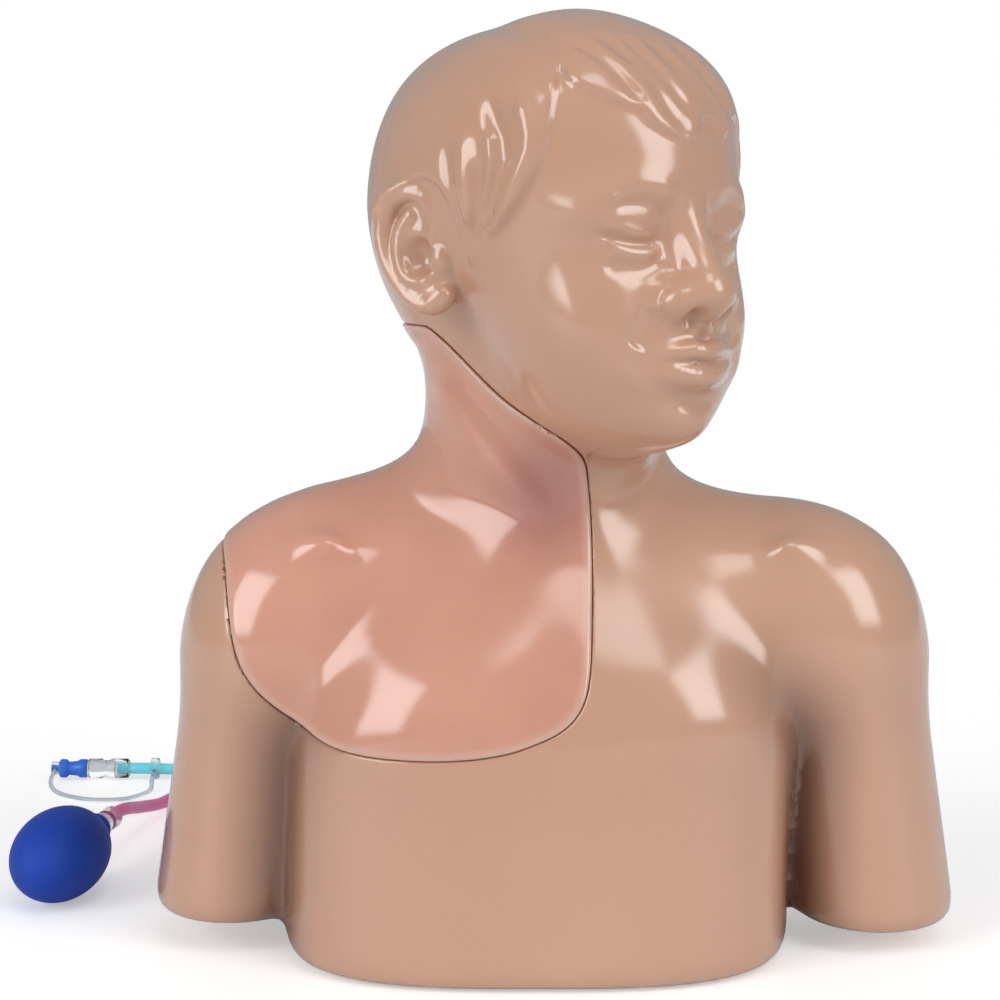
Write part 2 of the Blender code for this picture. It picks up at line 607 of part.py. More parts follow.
def tube(name, points, diameter, finish=None, sides=3):
    """A round cord or hose along points, with flat closed ends."""
    data = bpy.data.curves.new(name, "CURVE")
    data.dimensions = "3D"
    data.bevel_depth = diameter / 2
    data.bevel_resolution = sides
    data.use_fill_caps = True
    spline = data.splines.new("POLY")
    spline.points.add(len(points) - 1)
    for point, place in zip(spline.points, points):
        point.co = (*place, 1)
    if finish:
        data.materials.append(finish)
    return link(name, data, PARTS)


def turned(name, profile, place, axis, finish, steps=20):
    """A turned piece: the profile is (radius, height) down the outer side, and then up any bore."""
    data = bpy.data.meshes.new(name)
    edges = [(i, i + 1) for i in range(len(profile) - 1)]
    if profile[0][0] > 0:
        edges.append((len(profile) - 1, 0))
    data.from_pydata([(radius, 0, height) for radius, height in profile], edges, [])
    data.materials.append(finish)
    obj = link(name, data, PARTS)
    obj.location = place
    obj.rotation_euler = Vector(axis).to_track_quat("Z", "Y").to_euler()
    screw = obj.modifiers.new("turn", "SCREW")
    screw.steps = steps
    screw.render_steps = steps
    screw.use_merge_vertices = True
    screw.merge_threshold = 0.00001
    bpy.context.view_layer.update()
    return obj


def insert_outline(shrink):
    """The insert's edge seen from the front, as (x, z), with all of it moved inwards by shrink."""
    corners = [(-0.0445, NAPE_LINE), (-0.0130, JAW_LINE), (0.0140, JAW_LINE - 0.0180),
               (0.0205, JAW_LINE - 0.0360), (0.0215, 0.1500), (0.0165, 0.1140), (-0.0080, 0.0985),
               (-0.0500, 0.0940), (-0.0900, 0.0985),
               (-0.1180, 0.1220), (-0.1270, 0.1620), (-0.1340, 0.1950), (-0.1000, 0.2350),
               (-0.0660, NAPE_LINE + 0.0020)]
    closed = [Vector(corner) for corner in corners[-2:] + corners + corners[:2]]
    line = curve_points(closed, 6 * (len(closed) - 1) + 1)[12:-12]
    line = line[:-1]
    moved = []
    for before, here, after in zip(line[-1:] + line[:-1], line, line[1:] + line[:1]):
        along = (after - before).normalized()
        moved.append(here + shrink * Vector((along.y, -along.x)))
    return moved


def insert_prism(name, shrink, rear):
    """The insert's outline as a solid from in front of the chest back to a plane behind the shoulder's top."""
    data = bpy.data.curves.new(name, "CURVE")
    data.dimensions = "2D"
    data.fill_mode = "BOTH"
    front = -CHEST_DEPTH
    data.extrude = (rear - front) / 2
    spline = data.splines.new("POLY")
    outline = insert_outline(shrink)
    spline.points.add(len(outline) - 1)
    for point, place in zip(spline.points, outline):
        point.co = (place.x, place.y, 0, 1)
    spline.use_cyclic_u = True
    curve = link(name, data, PARTS)
    curve.location = (0, (rear + front) / 2, 0)
    curve.rotation_euler = (math.pi / 2, 0, 0)
    bpy.context.view_layer.update()
    return as_cutter(mesh_of_curve(curve))


def depth_place(x, z, depth, towards=1):
    """The point at a depth under the skin, looking along +Y from the front, or from behind with towards -1."""
    along = np.linspace(-towards * 0.14, towards * 0.06, 401)
    points = np.stack([np.full_like(along, x), along, np.full_like(along, z)], axis=1)
    inside = skin(points) + depth
    first = int(np.argmax(inside < 0))
    share = inside[first - 1] / (inside[first - 1] - inside[first])
    return Vector((x, along[first - 1] + share * (along[first] - along[first - 1]), z))


def spaced(points, spacing):
    """Points a set way apart on the smooth curve through the chosen ones, with its two ends kept."""
    fine = curve_points(points, 40 * len(points))
    lengths = np.cumsum([0] + [(b - a).length for a, b in zip(fine, fine[1:])])
    count = max(2, round(float(lengths[-1]) / spacing))
    found = []
    for step in range(count + 1):
        found.append(fine[int(np.argmin(np.abs(lengths - step * lengths[-1] / count)))])
    return found


def largest_piece(obj):
    """Keeps the largest of a mesh's separate pieces."""
    mesh = bmesh.new()
    mesh.from_mesh(obj.data)
    left = set(mesh.verts)
    pieces = []
    while left:
        piece, edge = set(), [left.pop()]
        while edge:
            vertex = edge.pop()
            piece.add(vertex)
            near = {link.other_vert(vertex) for link in vertex.link_edges} & left
            left -= near
            edge.extend(near)
        pieces.append(piece)
    pieces.sort(key=len)
    for piece in pieces[:-1]:
        bmesh.ops.delete(mesh, geom=list(piece), context="VERTS")
    mesh.to_mesh(obj.data)
    mesh.free()
    return obj


# The bust's skin, the seat of the insert and the hollow inside
bust = sculpted("bust_shell", 0.0, SCULPT_CELL, SHELL_TRIANGLES)
bust.data.materials.append(SKIN_PLASTIC)
seat = as_cutter(sculpted("seat_core", -INSERT_THICKNESS, 2 * SCULPT_CELL, INNER_TRIANGLES, SEAT_SMOOTHING))
hollow = as_cutter(sculpted("hollow", -SHELL_WALL, 1.3 * SCULPT_CELL, 1.6 * INNER_TRIANGLES))
behind_seat = moved_out(copy_of(seat, "hollow_behind_seat"), -SHELL_WALL)

pocket = insert_prism("pocket_outline", 0, INSERT_REAR)
boolean(pocket, seat, "DIFFERENCE")
pocket_wall = insert_prism("pocket_wall_outline", -SHELL_WALL, INSERT_REAR + SHELL_WALL)
boolean(hollow, pocket_wall, "DIFFERENCE")
boolean(hollow, behind_seat, "UNION")
largest_piece(hollow)
boolean(bust, pocket, "DIFFERENCE")
boolean(bust, hollow, "DIFFERENCE")

insert = sculpted("tissue_insert", INSERT_PROUD, 1.1 * SCULPT_CELL, SHELL_TRIANGLES)
insert.data.materials.append(TISSUE_GEL)
insert_edge = insert_prism("insert_outline", FIT_GAP, INSERT_REAR - FIT_GAP)
insert_back = moved_out(copy_of(seat, "insert_back"), SEAT_GAP)
boolean(insert, insert_edge, "INTERSECT")
boolean(insert, insert_back, "DIFFERENCE")


BACKWARDS = Vector((0, 1, 0))


def resting(points, diameter):
    """The same points, none of them lower than a cord of this diameter lies on the table."""
    lowest = diameter / 2 + 0.0002
    return [Vector((point.x, point.y, max(point.z, lowest))) for point in points]


def straight_ends(route, first_way=None, last_way=None):
    """The route with its first and last stretch exactly in line with what they sit in."""
    if first_way:
        route[1] = route[0] + Vector(first_way) * (route[1] - route[0]).length
    if last_way:
        route[-2] = route[-1] - Vector(last_way) * (route[-1] - route[-2]).length
    return route


def straight_cutter(name, start, end, diameter):
    return as_cutter(mesh_of_curve(tube(name, [Vector(start), Vector(end)], diameter, sides=8)))


def seat_place(x, z):
    """The point of the seat that lies straight behind a place on the chest."""
    return seat.ray_cast(Vector((x, -CHEST_DEPTH, z)), BACKWARDS)[1]


def vessel(name, diameter, run, finish):
    """A blind elastomer vessel at an even depth under the insert's skin, which turns in to the seat at its end.

    The run is a list of (x, z). It returns where the vessel's open end is.
    """
    chosen = [depth_place(x, z, VESSEL_DEPTH) for x, z in run]
    x, z = run[-1]
    turn_in = diameter / 2
    back = min((seat_place(x + side * diameter / 2, z + lift * diameter / 2) for side in (-1, 0, 1)
                for lift in (-1, 0, 1)), key=lambda place: place.y)
    end = Vector((x, back.y - COUPLING_SEAT, z))
    chosen[-1] = Vector((x + turn_in, chosen[-1].y, z))
    chosen.append(Vector((x, chosen[-1].y + diameter, z)))
    chosen.append(end)
    route = straight_ends(spaced(chosen, diameter), last_way=BACKWARDS)
    tube(name, route, diameter, finish)
    first = route[0] + (route[0] - route[1]).normalized() * TOUCH_GAP
    channel = tube(name + "_channel", [first, *route[1:], end + Vector((0, COUPLING_SEAT, 0))],
                   diameter + 2 * TOUCH_GAP)
    boolean(insert, as_cutter(mesh_of_curve(channel)), "DIFFERENCE")
    through = end + Vector((0, COUPLING_LENGTH + SHELL_WALL, 0))
    hole = straight_cutter(name + "_coupling_hole", end, through, COUPLING_DIAMETER + 2 * TOUCH_GAP)
    boolean(insert, hole, "DIFFERENCE")
    boolean(bust, hole, "DIFFERENCE")
    return end


def coupling(name, end):
    """A barbed coupling through the seat's wall, between a vessel and its hose inside the bust."""
    bore = COUPLING_BORE / 2
    outer = COUPLING_DIAMETER / 2
    barb = HOSE_DIAMETER / 2
    top = COUPLING_LENGTH - TOUCH_GAP
    profile = [(bore, top), (barb, top), (barb + 0.0006, top - 0.003), (barb - 0.0004, top - 0.003),
               (outer, 0.55 * top), (outer, 0), (bore, 0)]
    turned(name, profile, end + Vector((0, TOUCH_GAP, 0)), (0, 1, 0), CLEAR_PLASTIC)
    return end + Vector((0, COUPLING_LENGTH + TOUCH_GAP, 0))


def rear_grommet(name, x, z):
    """A rubber grommet in a hole with a spot face in the back of the shell. It returns its outer end."""
    skin_place = depth_place(x, z, 0, -1)
    floor = skin_place - Vector((0, SPOT_FACE_DEPTH, 0))
    outwards = Vector((0, 0.03, 0))
    boolean(bust, straight_cutter(name + "_spot_face", floor, floor + outwards,
                                  GROMMET_FLANGE_DIAMETER + 2 * TOUCH_GAP), "DIFFERENCE")
    boolean(bust, straight_cutter(name + "_hole", floor - 0.6 * outwards, floor + outwards,
                                  GROMMET_DIAMETER + 2 * TOUCH_GAP), "DIFFERENCE")
    flange, neck_radius = GROMMET_FLANGE_DIAMETER / 2, GROMMET_DIAMETER / 2
    bore = HOSE_DIAMETER / 2 + TOUCH_GAP
    rim = 0.0006
    lip = -SHELL_WALL - GROMMET_GRIP
    profile = [(bore, GROMMET_FLANGE), (flange - rim, GROMMET_FLANGE), (flange, GROMMET_FLANGE - rim),
               (flange, 0), (neck_radius, 0), (neck_radius, lip), (neck_radius + 0.0012, lip - 0.0012),
               (neck_radius - 0.001, lip - 0.004), (bore, lip - 0.004)]
    seat_place = floor + Vector((0, TOUCH_GAP, 0))
    turned(name, profile, seat_place, (0, 1, 0), GROMMET_RUBBER)
    return seat_place + Vector((0, GROMMET_FLANGE, 0))


# The vessels in the insert, their couplings, and the hoses through the hollow bust to the grommets
VEIN_RUN = [(-0.0260, JAW_LINE + 0.0010), (-0.0250, JAW_LINE - 0.0200), (-0.0230, 0.1880), (-0.0290, 0.1700),
            (-0.0390, 0.1540), (-0.0460, 0.1380)]
ARTERY_RUN = [(-0.0100, JAW_LINE - 0.0120), (-0.0060, JAW_LINE - 0.0300), (-0.0030, 0.1820), (-0.0070, 0.1620),
              (-0.0160, 0.1420), (-0.0270, 0.1240)]
GROMMET_HEIGHT = 0.060
VEIN_GROMMET_X = -0.024
ARTERY_GROMMET_X = -0.052

vein_end = vessel("jugular_vein", VEIN_DIAMETER, VEIN_RUN, VEIN_BLUE)
artery_end = vessel("carotid_artery", ARTERY_DIAMETER, ARTERY_RUN, ARTERY_RED)
vein_exit = rear_grommet("vein_grommet", VEIN_GROMMET_X, GROMMET_HEIGHT)
artery_exit = rear_grommet("artery_grommet", ARTERY_GROMMET_X, GROMMET_HEIGHT)

for name, end, exit_place, finish in (("vein", vein_end, vein_exit, CYAN_HOSE),
                                      ("artery", artery_end, artery_exit, PINK_HOSE)):
    start = coupling(name + "_coupling", end)
    ahead = Vector((0, 2 * HOSE_DIAMETER, 0))
    inner = [start, start + ahead / 2, (start + exit_place) / 2, exit_place - ahead, exit_place]
    route = straight_ends(spaced(inner, 2 * HOSE_DIAMETER), BACKWARDS, BACKWARDS)
    tube(name + "_inner_hose", route, HOSE_DIAMETER, finish)


# The free hoses behind the bust: out of the grommets, down to the table and round to its right
LYING = HOSE_DIAMETER / 2 + 0.0002
HOSE_STEP = 2.5 * HOSE_DIAMETER
CONNECTOR_AXIS = Vector((-1, 0, 0))
CONNECTOR_HEIGHT = 0.0060
BULB_MIDDLE = Vector((-0.2116, 0.0540, BULB_DIAMETER / 2 + 0.0002))
BULB_AXIS = Vector((0.20, 0.98, 0)).normalized()
CONNECTOR_START = Vector((-0.2164, 0.2630, CONNECTOR_HEIGHT))
neck_end = BULB_MIDDLE + BULB_AXIS * (BULB_LENGTH / 2 + BULB_NECK_LENGTH)
collar_end = neck_end + BULB_AXIS * (TOUCH_GAP + COLLAR_LENGTH)
SOCKET = 0.007

artery_points = [artery_exit + Vector((0, TOUCH_GAP, 0)), artery_exit + Vector((0, 0.016, -0.0005)),
                 Vector((-0.0545, 0.1180, 0.0450)), Vector((-0.0630, 0.1480, 0.0240)),
                 Vector((-0.0780, 0.1780, 0.0085)), Vector((-0.1020, 0.2060, LYING)),
                 Vector((-0.1240, 0.2290, LYING)), Vector((-0.1500, 0.2395, LYING)),
                 Vector((-0.1710, 0.2335, LYING)), Vector((-0.1820, 0.2160, LYING)),
                 Vector((-0.1880, 0.1900, 0.0065)), Vector((-0.1925, 0.1600, 0.0130)),
                 collar_end + BULB_AXIS * 0.012, collar_end - BULB_AXIS * SOCKET]
artery_route = resting(spaced(artery_points, HOSE_STEP), HOSE_DIAMETER)
tube("artery_hose", straight_ends(artery_route, BACKWARDS, -BULB_AXIS), HOSE_DIAMETER, PINK_HOSE)

vein_points = [vein_exit + Vector((0, TOUCH_GAP, 0)), vein_exit + Vector((0, 0.016, -0.0005)),
               Vector((-0.0250, 0.1220, 0.0470)), Vector((-0.0300, 0.1560, 0.0270)),
               Vector((-0.0420, 0.1900, 0.0100)), Vector((-0.0620, 0.2220, LYING)),
               Vector((-0.0880, 0.2480, LYING)), Vector((-0.1200, 0.2610, LYING)),
               Vector((-0.1560, 0.2650, LYING)), Vector((-0.1860, 0.2640, 0.0050)),
               CONNECTOR_START + Vector((0.008, 0, 0)), CONNECTOR_START - Vector((SOCKET, 0, 0))]
vein_route = resting(spaced(vein_points, HOSE_STEP), HOSE_DIAMETER)
tube("vein_hose", straight_ends(vein_route, BACKWARDS, CONNECTOR_AXIS), HOSE_DIAMETER, CYAN_HOSE)


SPIGOT = 0.006
SPIGOT_DIAMETER = 0.0060


def fitting(name, place, axis, length):
    """A clear fitting: a socket for the hose at its start, a waist, and a spigot at its far end."""
    radius = CONNECTOR_DIAMETER / 2
    socket = HOSE_DIAMETER / 2 + TOUCH_GAP
    step = 0.0006
    profile = [(0, SOCKET + TOUCH_GAP), (socket, SOCKET + TOUCH_GAP), (socket, 0), (radius - step, 0),
               (radius, step)]
    profile += [(radius, 0.42 * length), (radius - 0.0008, 0.48 * length), (radius - 0.0008, 0.60 * length),
                (radius, 0.66 * length), (radius, length - step), (radius - step, length)]
    profile += [(SPIGOT_DIAMETER / 2, length), (SPIGOT_DIAMETER / 2, length + SPIGOT), (0, length + SPIGOT)]
    return turned(name, profile[::-1], place, axis, CLEAR_PLASTIC)


fitting("bulb_collar", collar_end, -BULB_AXIS, COLLAR_LENGTH)
fitting("vein_connector", CONNECTOR_START, CONNECTOR_AXIS, CONNECTOR_LENGTH)

# The pulse bulb lies on its side, with its neck on the collar
oval = []
for step in range(1, 16):
    turn = math.pi * step / 16
    radius = BULB_DIAMETER / 2 * math.sin(turn)
    height = BULB_LENGTH / 2 * math.cos(turn)
    if height > 0 and radius < BULB_NECK_DIAMETER / 2 + 0.001:
        continue
    oval.append((radius, height))
neck_radius = BULB_NECK_DIAMETER / 2
bulb_top = BULB_LENGTH / 2 + BULB_NECK_LENGTH
spigot_hole = SPIGOT_DIAMETER / 2 + TOUCH_GAP
bulb_profile = [(0, bulb_top - SPIGOT - 2 * TOUCH_GAP), (spigot_hole, bulb_top - SPIGOT - 2 * TOUCH_GAP),
                (spigot_hole, bulb_top), (neck_radius - 0.0008, bulb_top), (neck_radius, bulb_top - 0.0008),
                (neck_radius, bulb_top - 0.0030), (neck_radius - 0.0008, bulb_top - 0.0045),
                (neck_radius, BULB_LENGTH / 2 - 0.001), *oval, (0, -BULB_LENGTH / 2)]
turned("squeeze_bulb", bulb_profile, BULB_MIDDLE, BULB_AXIS, BLUE_RUBBER, 24)

# The stopper in the connector, with a nipple that holds its tether
plug_start = CONNECTOR_START - Vector((CONNECTOR_LENGTH + TOUCH_GAP, 0, 0))
plug_radius = PLUG_DIAMETER / 2
NIPPLE_DIAMETER = 0.0040
NIPPLE_LENGTH = 0.0045
plug_profile = [(0, SPIGOT + 2 * TOUCH_GAP), (spigot_hole, SPIGOT + 2 * TOUCH_GAP), (spigot_hole, 0),
                (plug_radius - 0.0006, 0), (plug_radius, 0.0006), (plug_radius, 0.0040),
                (plug_radius - 0.0010, 0.0055),
                (plug_radius - 0.0014, PLUG_LENGTH - 0.0050), (plug_radius, PLUG_LENGTH - 0.0035),
                (plug_radius, PLUG_LENGTH - 0.0006), (plug_radius - 0.0006, PLUG_LENGTH),
                (NIPPLE_DIAMETER / 2, PLUG_LENGTH), (NIPPLE_DIAMETER / 2, PLUG_LENGTH + NIPPLE_LENGTH),
                (0, PLUG_LENGTH + NIPPLE_LENGTH)]
turned("vein_plug", plug_profile[::-1], plug_start, CONNECTOR_AXIS, PLUG_BLUE)


def ring(name, place, inner_radius):
    """A flat-sided ring around the X axis."""
    half = TETHER_RING_WIDTH / 2
    outer = inner_radius + TETHER_RING_WALL
    return turned(name, [(outer, half), (outer, -half), (inner_radius, -half), (inner_radius, half)], place,
                  (1, 0, 0), CLEAR_PLASTIC)


nipple_ring_place = plug_start - Vector((PLUG_LENGTH + TOUCH_GAP + TETHER_RING_WIDTH / 2, 0, 0))
hose_ring_place = Vector((-0.2020, 0.2630, CONNECTOR_HEIGHT))
tether_height = TETHER_DIAMETER / 2 + 0.0002
tether_points = [nipple_ring_place + Vector((0, -NIPPLE_DIAMETER / 2 - 0.0010, -0.0005)),
                 Vector((nipple_ring_place.x, 0.2480, tether_height)), Vector((-0.2480, 0.2290, tether_height)),
                 Vector((-0.2300, 0.2160, tether_height)), Vector((-0.2110, 0.2170, tether_height)),
                 Vector((-0.2010, 0.2330, tether_height)), Vector((hose_ring_place.x, 0.2500, 0.0030)),
                 hose_ring_place + Vector((0, -HOSE_DIAMETER / 2 - 0.0010, -0.0005))]
tether_route = resting(spaced(tether_points, 3 * TETHER_DIAMETER), TETHER_DIAMETER)
tether = mesh_of_curve(tube("tether_strap", tether_route, TETHER_DIAMETER, CLEAR_PLASTIC, 2))
tether.name = "plug_tether"
for place, radius in ((nipple_ring_place, NIPPLE_DIAMETER / 2), (hose_ring_place, HOSE_DIAMETER / 2)):
    boolean(tether, as_cutter(ring("tether_ring", place, radius + TOUCH_GAP)), "UNION")
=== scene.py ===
import math

import bmesh
import bpy
import numpy as np
from mathutils import Matrix, Vector


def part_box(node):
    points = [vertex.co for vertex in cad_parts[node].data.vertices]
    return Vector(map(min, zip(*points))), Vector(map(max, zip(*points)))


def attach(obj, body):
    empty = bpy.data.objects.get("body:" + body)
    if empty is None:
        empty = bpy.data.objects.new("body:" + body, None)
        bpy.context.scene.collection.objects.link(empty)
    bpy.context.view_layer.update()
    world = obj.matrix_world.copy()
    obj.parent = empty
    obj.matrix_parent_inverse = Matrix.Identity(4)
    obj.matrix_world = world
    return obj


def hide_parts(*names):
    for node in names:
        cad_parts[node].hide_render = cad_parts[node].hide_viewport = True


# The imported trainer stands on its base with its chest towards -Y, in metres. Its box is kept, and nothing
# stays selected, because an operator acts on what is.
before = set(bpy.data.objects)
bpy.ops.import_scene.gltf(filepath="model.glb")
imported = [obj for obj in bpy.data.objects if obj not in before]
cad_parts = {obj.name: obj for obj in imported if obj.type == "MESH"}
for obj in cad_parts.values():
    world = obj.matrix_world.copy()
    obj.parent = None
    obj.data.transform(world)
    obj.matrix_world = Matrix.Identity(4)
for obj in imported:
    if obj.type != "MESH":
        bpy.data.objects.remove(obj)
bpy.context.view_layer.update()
bpy.ops.object.select_all(action="DESELECT")
scene = bpy.context.scene
scene.view_settings.view_transform = "Standard"


# The trainer is seen from just above its chest, straight on, at the distance of someone who sits before it.
# The picture is square, and it reaches from the crown of the head to the edge of the base.
CAMERA_PLACE = (-0.015, -0.900, 0.306)
CAMERA_TILT = math.radians(82.5)
CAMERA_LENS = 79.056


def put_in(name, data):
    """A new object, linked to the scene."""
    made = bpy.data.objects.new(name, data)
    scene.collection.objects.link(made)
    return made


camera = put_in("camera", bpy.data.cameras.new("camera"))
camera.location = CAMERA_PLACE
camera.rotation_euler = (CAMERA_TILT, 0, 0)
camera.data.lens = CAMERA_LENS
camera.data.sensor_width = 36
camera.data.clip_start = 0.05
camera.data.clip_end = 20
scene.camera = camera


# The trainer stands on a white studio table that runs on without an edge. Near the trainer the table keeps
# its soft shadow, and further off it is plain white, as the wall of light behind it is.
TABLE_WIDTH = 12.0
TABLE_DROP = 0.0002
TABLE_WHITE = (0.90, 0.90, 0.91, 1)
TABLE_LIFT = 0.38
SHADOW_CORE = 0.22
SHADOW_REACH = 0.60
WHITE = (1, 1, 1, 1)


def new_material(name):
    """A material with nodes. It returns the material, its node tree and its main shader."""
    made = bpy.data.materials.new(name)
    made.use_nodes = True
    return made, made.node_tree, made.node_tree.nodes["Principled BSDF"]


def fill(node, values):
    """Gives each named input of a node its value, or links it where that is another node's output."""
    for name, value in values.items():
        if isinstance(value, bpy.types.NodeSocket):
            node.id_data.links.new(value, node.inputs[name])
        else:
            node.inputs[name].default_value = value


def added(tree, kind, values=None, **settings):
    """Adds a node of a kind to a tree, with its settings and its inputs."""
    node = tree.nodes.new(kind)
    for setting, value in settings.items():
        setattr(node, setting, value)
    fill(node, values or {})
    return node


def only(piece):
    """Selects one object alone, so that the operators act on it."""
    bpy.ops.object.select_all(action="DESELECT")
    piece.select_set(True)
    bpy.context.view_layer.objects.active = piece


bpy.ops.mesh.primitive_plane_add(size=TABLE_WIDTH, location=(0, 0, -TABLE_DROP))
table = bpy.context.object
table.name = "studio_table"
bpy.ops.object.transform_apply(location=True, rotation=False, scale=False)

table_finish, tree, shader = new_material("white_table")
fill(shader, {"Base Color": TABLE_WHITE, "Roughness": 0.55})
place = added(tree, "ShaderNodeTexCoord")
distance = added(tree, "ShaderNodeVectorMath", {0: place.outputs["Object"]}, operation="LENGTH")
fade = added(tree, "ShaderNodeMapRange", {"Value": distance.outputs["Value"], "From Min": SHADOW_CORE,
                                          "From Max": SHADOW_REACH}, interpolation_type="SMOOTHSTEP")
path = added(tree, "ShaderNodeLightPath")
seen = added(tree, "ShaderNodeMath", {0: path.outputs["Is Camera Ray"], 1: fade.outputs["Result"]},
             operation="MULTIPLY")
lift = added(tree, "ShaderNodeEmission", {"Color": path.outputs["Is Camera Ray"], "Strength": TABLE_LIFT})
near = added(tree, "ShaderNodeAddShader", {0: shader.outputs["BSDF"], 1: lift.outputs["Emission"]})
plain = added(tree, "ShaderNodeEmission", {"Color": WHITE, "Strength": 1.0})
mixed = added(tree, "ShaderNodeMixShader", {"Fac": seen.outputs["Value"], 1: near.outputs["Shader"],
                                            2: plain.outputs["Emission"]})
fill(tree.nodes["Material Output"], {"Surface": mixed.outputs["Shader"]})
table.data.materials.append(table_finish)


# The light is a dim white room with three large soft boxes behind white cloth: one at the left, one at
# the right and a smaller one high in front. Their soft-edged panels show in the gloss of skin and gel.
ROOM_FILL = 0.34
world = bpy.data.worlds.new("white_room")
scene.world = world
world.use_nodes = True
tree = world.node_tree
way = added(tree, "ShaderNodeTexCoord")


def worked_out(operation, first, second):
    """A maths node on two values, each a socket or a number."""
    step = added(world.node_tree, "ShaderNodeMath", {0: first, 1: second}, operation=operation)
    return step.outputs["Value"]


def along(direction):
    """How far a ray of the room points along a direction."""
    step = added(world.node_tree, "ShaderNodeVectorMath", {0: way.outputs["Generated"], 1: direction},
                 operation="DOT_PRODUCT")
    return step.outputs["Value"]


def panel(place, half_width, half_height, edge, brightness):
    """The light of a soft box seen from the trainer, with its half sizes and its soft edge as slopes."""
    front = Vector(place).normalized()
    side = front.cross(Vector((0, 0, 1))).normalized()
    ahead = along(front)
    depth = worked_out("MAXIMUM", ahead, 0.001)
    light = worked_out("GREATER_THAN", ahead, 0.05)
    for direction, half in ((side, half_width), (side.cross(front), half_height)):
        offset = worked_out("ABSOLUTE", worked_out("DIVIDE", along(direction), depth), 0)
        fall = added(world.node_tree, "ShaderNodeMapRange",
                     {"Value": offset, "From Min": half + edge / 2, "From Max": half - edge / 2},
                     interpolation_type="SMOOTHSTEP")
        light = worked_out("MULTIPLY", light, fall.outputs["Result"])
    return worked_out("MULTIPLY", light, brightness)


light = worked_out("ADD", panel((-1.30, -1.05, 0.75), 0.26, 0.34, 0.13, 3.9), ROOM_FILL)
light = worked_out("ADD", panel((1.25, -1.00, 0.90), 0.22, 0.34, 0.16, 3.9), light)
light = worked_out("ADD", panel((0.25, -0.80, 1.40), 0.20, 0.16, 0.12, 2.6), light)
room = tree.nodes["Background"]
fill(room, {"Color": WHITE, "Strength": light})
backdrop = added(tree, "ShaderNodeBackground", {"Color": WHITE, "Strength": 1.0})
path = added(tree, "ShaderNodeLightPath")
seen = worked_out("MAXIMUM", path.outputs["Is Camera Ray"], path.outputs["Is Transmission Ray"])
mixed = added(tree, "ShaderNodeMixShader", {"Fac": seen, 1: room.outputs["Background"],
                                            2: backdrop.outputs["Background"]})
fill(tree.nodes["World Output"], {"Surface": mixed.outputs["Shader"]})
world.cycles.sampling_method = "MANUAL"
world.cycles.sample_map_resolution = 1024


# Two clear hoses leave the grommets in the back, fall to the table and come round to the trainer's right:
# the artery's, full of pink fluid, ends on the pulse bulb, and the vein's, full of blue fluid, in a plug.
# Each is a soft 8 mm tube with a 1 mm wall, drawn through the same points as the part's plain cords.
HOSE_DIAMETER = 0.008
HOSE_WALL = 0.0010
TOUCH_GAP = 0.0003
LYING_GAP = 0.0002
LYING = HOSE_DIAMETER / 2 + LYING_GAP
SOCKET = 0.007
BULB_DIAMETER = 0.041
BULB_LENGTH = 0.064
BULB_NECK_LENGTH = 0.010
BULB_MIDDLE = Vector((-0.2116, 0.0540, BULB_DIAMETER / 2 + LYING_GAP))
BULB_AXIS = Vector((0.20, 0.98, 0)).normalized()
COLLAR_LENGTH = 0.020
CONNECTOR_AXIS = Vector((-1, 0, 0))
CONNECTOR_HEIGHT = 0.0060
CONNECTOR_START = Vector((-0.2164, 0.2630, CONNECTOR_HEIGHT))
BACKWARDS = Vector((0, 1, 0))
neck_end = BULB_MIDDLE + BULB_AXIS * (BULB_LENGTH / 2 + BULB_NECK_LENGTH)
collar_end = neck_end + BULB_AXIS * (TOUCH_GAP + COLLAR_LENGTH)


def hose_exit(grommet):
    """The middle of a grommet's outer face, where its hose comes out."""
    low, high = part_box(grommet)
    return Vector(((low.x + high.x) / 2, high.y, (low.z + high.z) / 2))


def curve_points(points, count):
    """Evenly numbered points on a smooth Catmull-Rom curve through a few chosen ones."""
    chosen = [Vector(point) for point in points]
    chosen = [2 * chosen[0] - chosen[1], *chosen, 2 * chosen[-1] - chosen[-2]]
    found = []
    for step in range(count):
        at = step * (len(chosen) - 3) / (count - 1)
        first = min(int(at), len(chosen) - 4)
        t = at - first
        a, b, c, d = chosen[first : first + 4]
        found.append(0.5 * (2 * b + (c - a) * t + (2 * a - 5 * b + 4 * c - d) * t**2
                            + (3 * b - a - 3 * c + d) * t**3))
    return found


def spaced(points, spacing):
    """Points a set way apart on the smooth curve through the chosen ones, with its two ends kept."""
    fine = curve_points(points, 40 * len(points))
    lengths = np.cumsum([0] + [(b - a).length for a, b in zip(fine, fine[1:])])
    count = max(2, round(float(lengths[-1]) / spacing))
    found = []
    for step in range(count + 1):
        found.append(fine[int(np.argmin(np.abs(lengths - step * lengths[-1] / count)))])
    return found


def resting(points, diameter):
    """The same points, none of them lower than a cord of this diameter lies on the table."""
    lowest = diameter / 2 + LYING_GAP
    return [Vector((point.x, point.y, max(point.z, lowest))) for point in points]


def straight_ends(route, first_way=None, last_way=None):
    """The route with its first and last stretch exactly in line with what they sit in."""
    if first_way:
        route[1] = route[0] + Vector(first_way) * (route[1] - route[0]).length
    if last_way:
        route[-2] = route[-1] - Vector(last_way) * (route[-1] - route[-2]).length
    return route


def round_line(name, route, diameter):
    """A round cord along a route, as a curve with closed ends."""
    data = bpy.data.curves.new(name, "CURVE")
    data.dimensions = "3D"
    data.bevel_depth = diameter / 2
    data.bevel_resolution = 5
    data.use_fill_caps = True
    spline = data.splines.new("POLY")
    spline.points.add(len(route) - 1)
    for point, place in zip(spline.points, route):
        point.co = (*place, 1)
    return put_in(name, data)


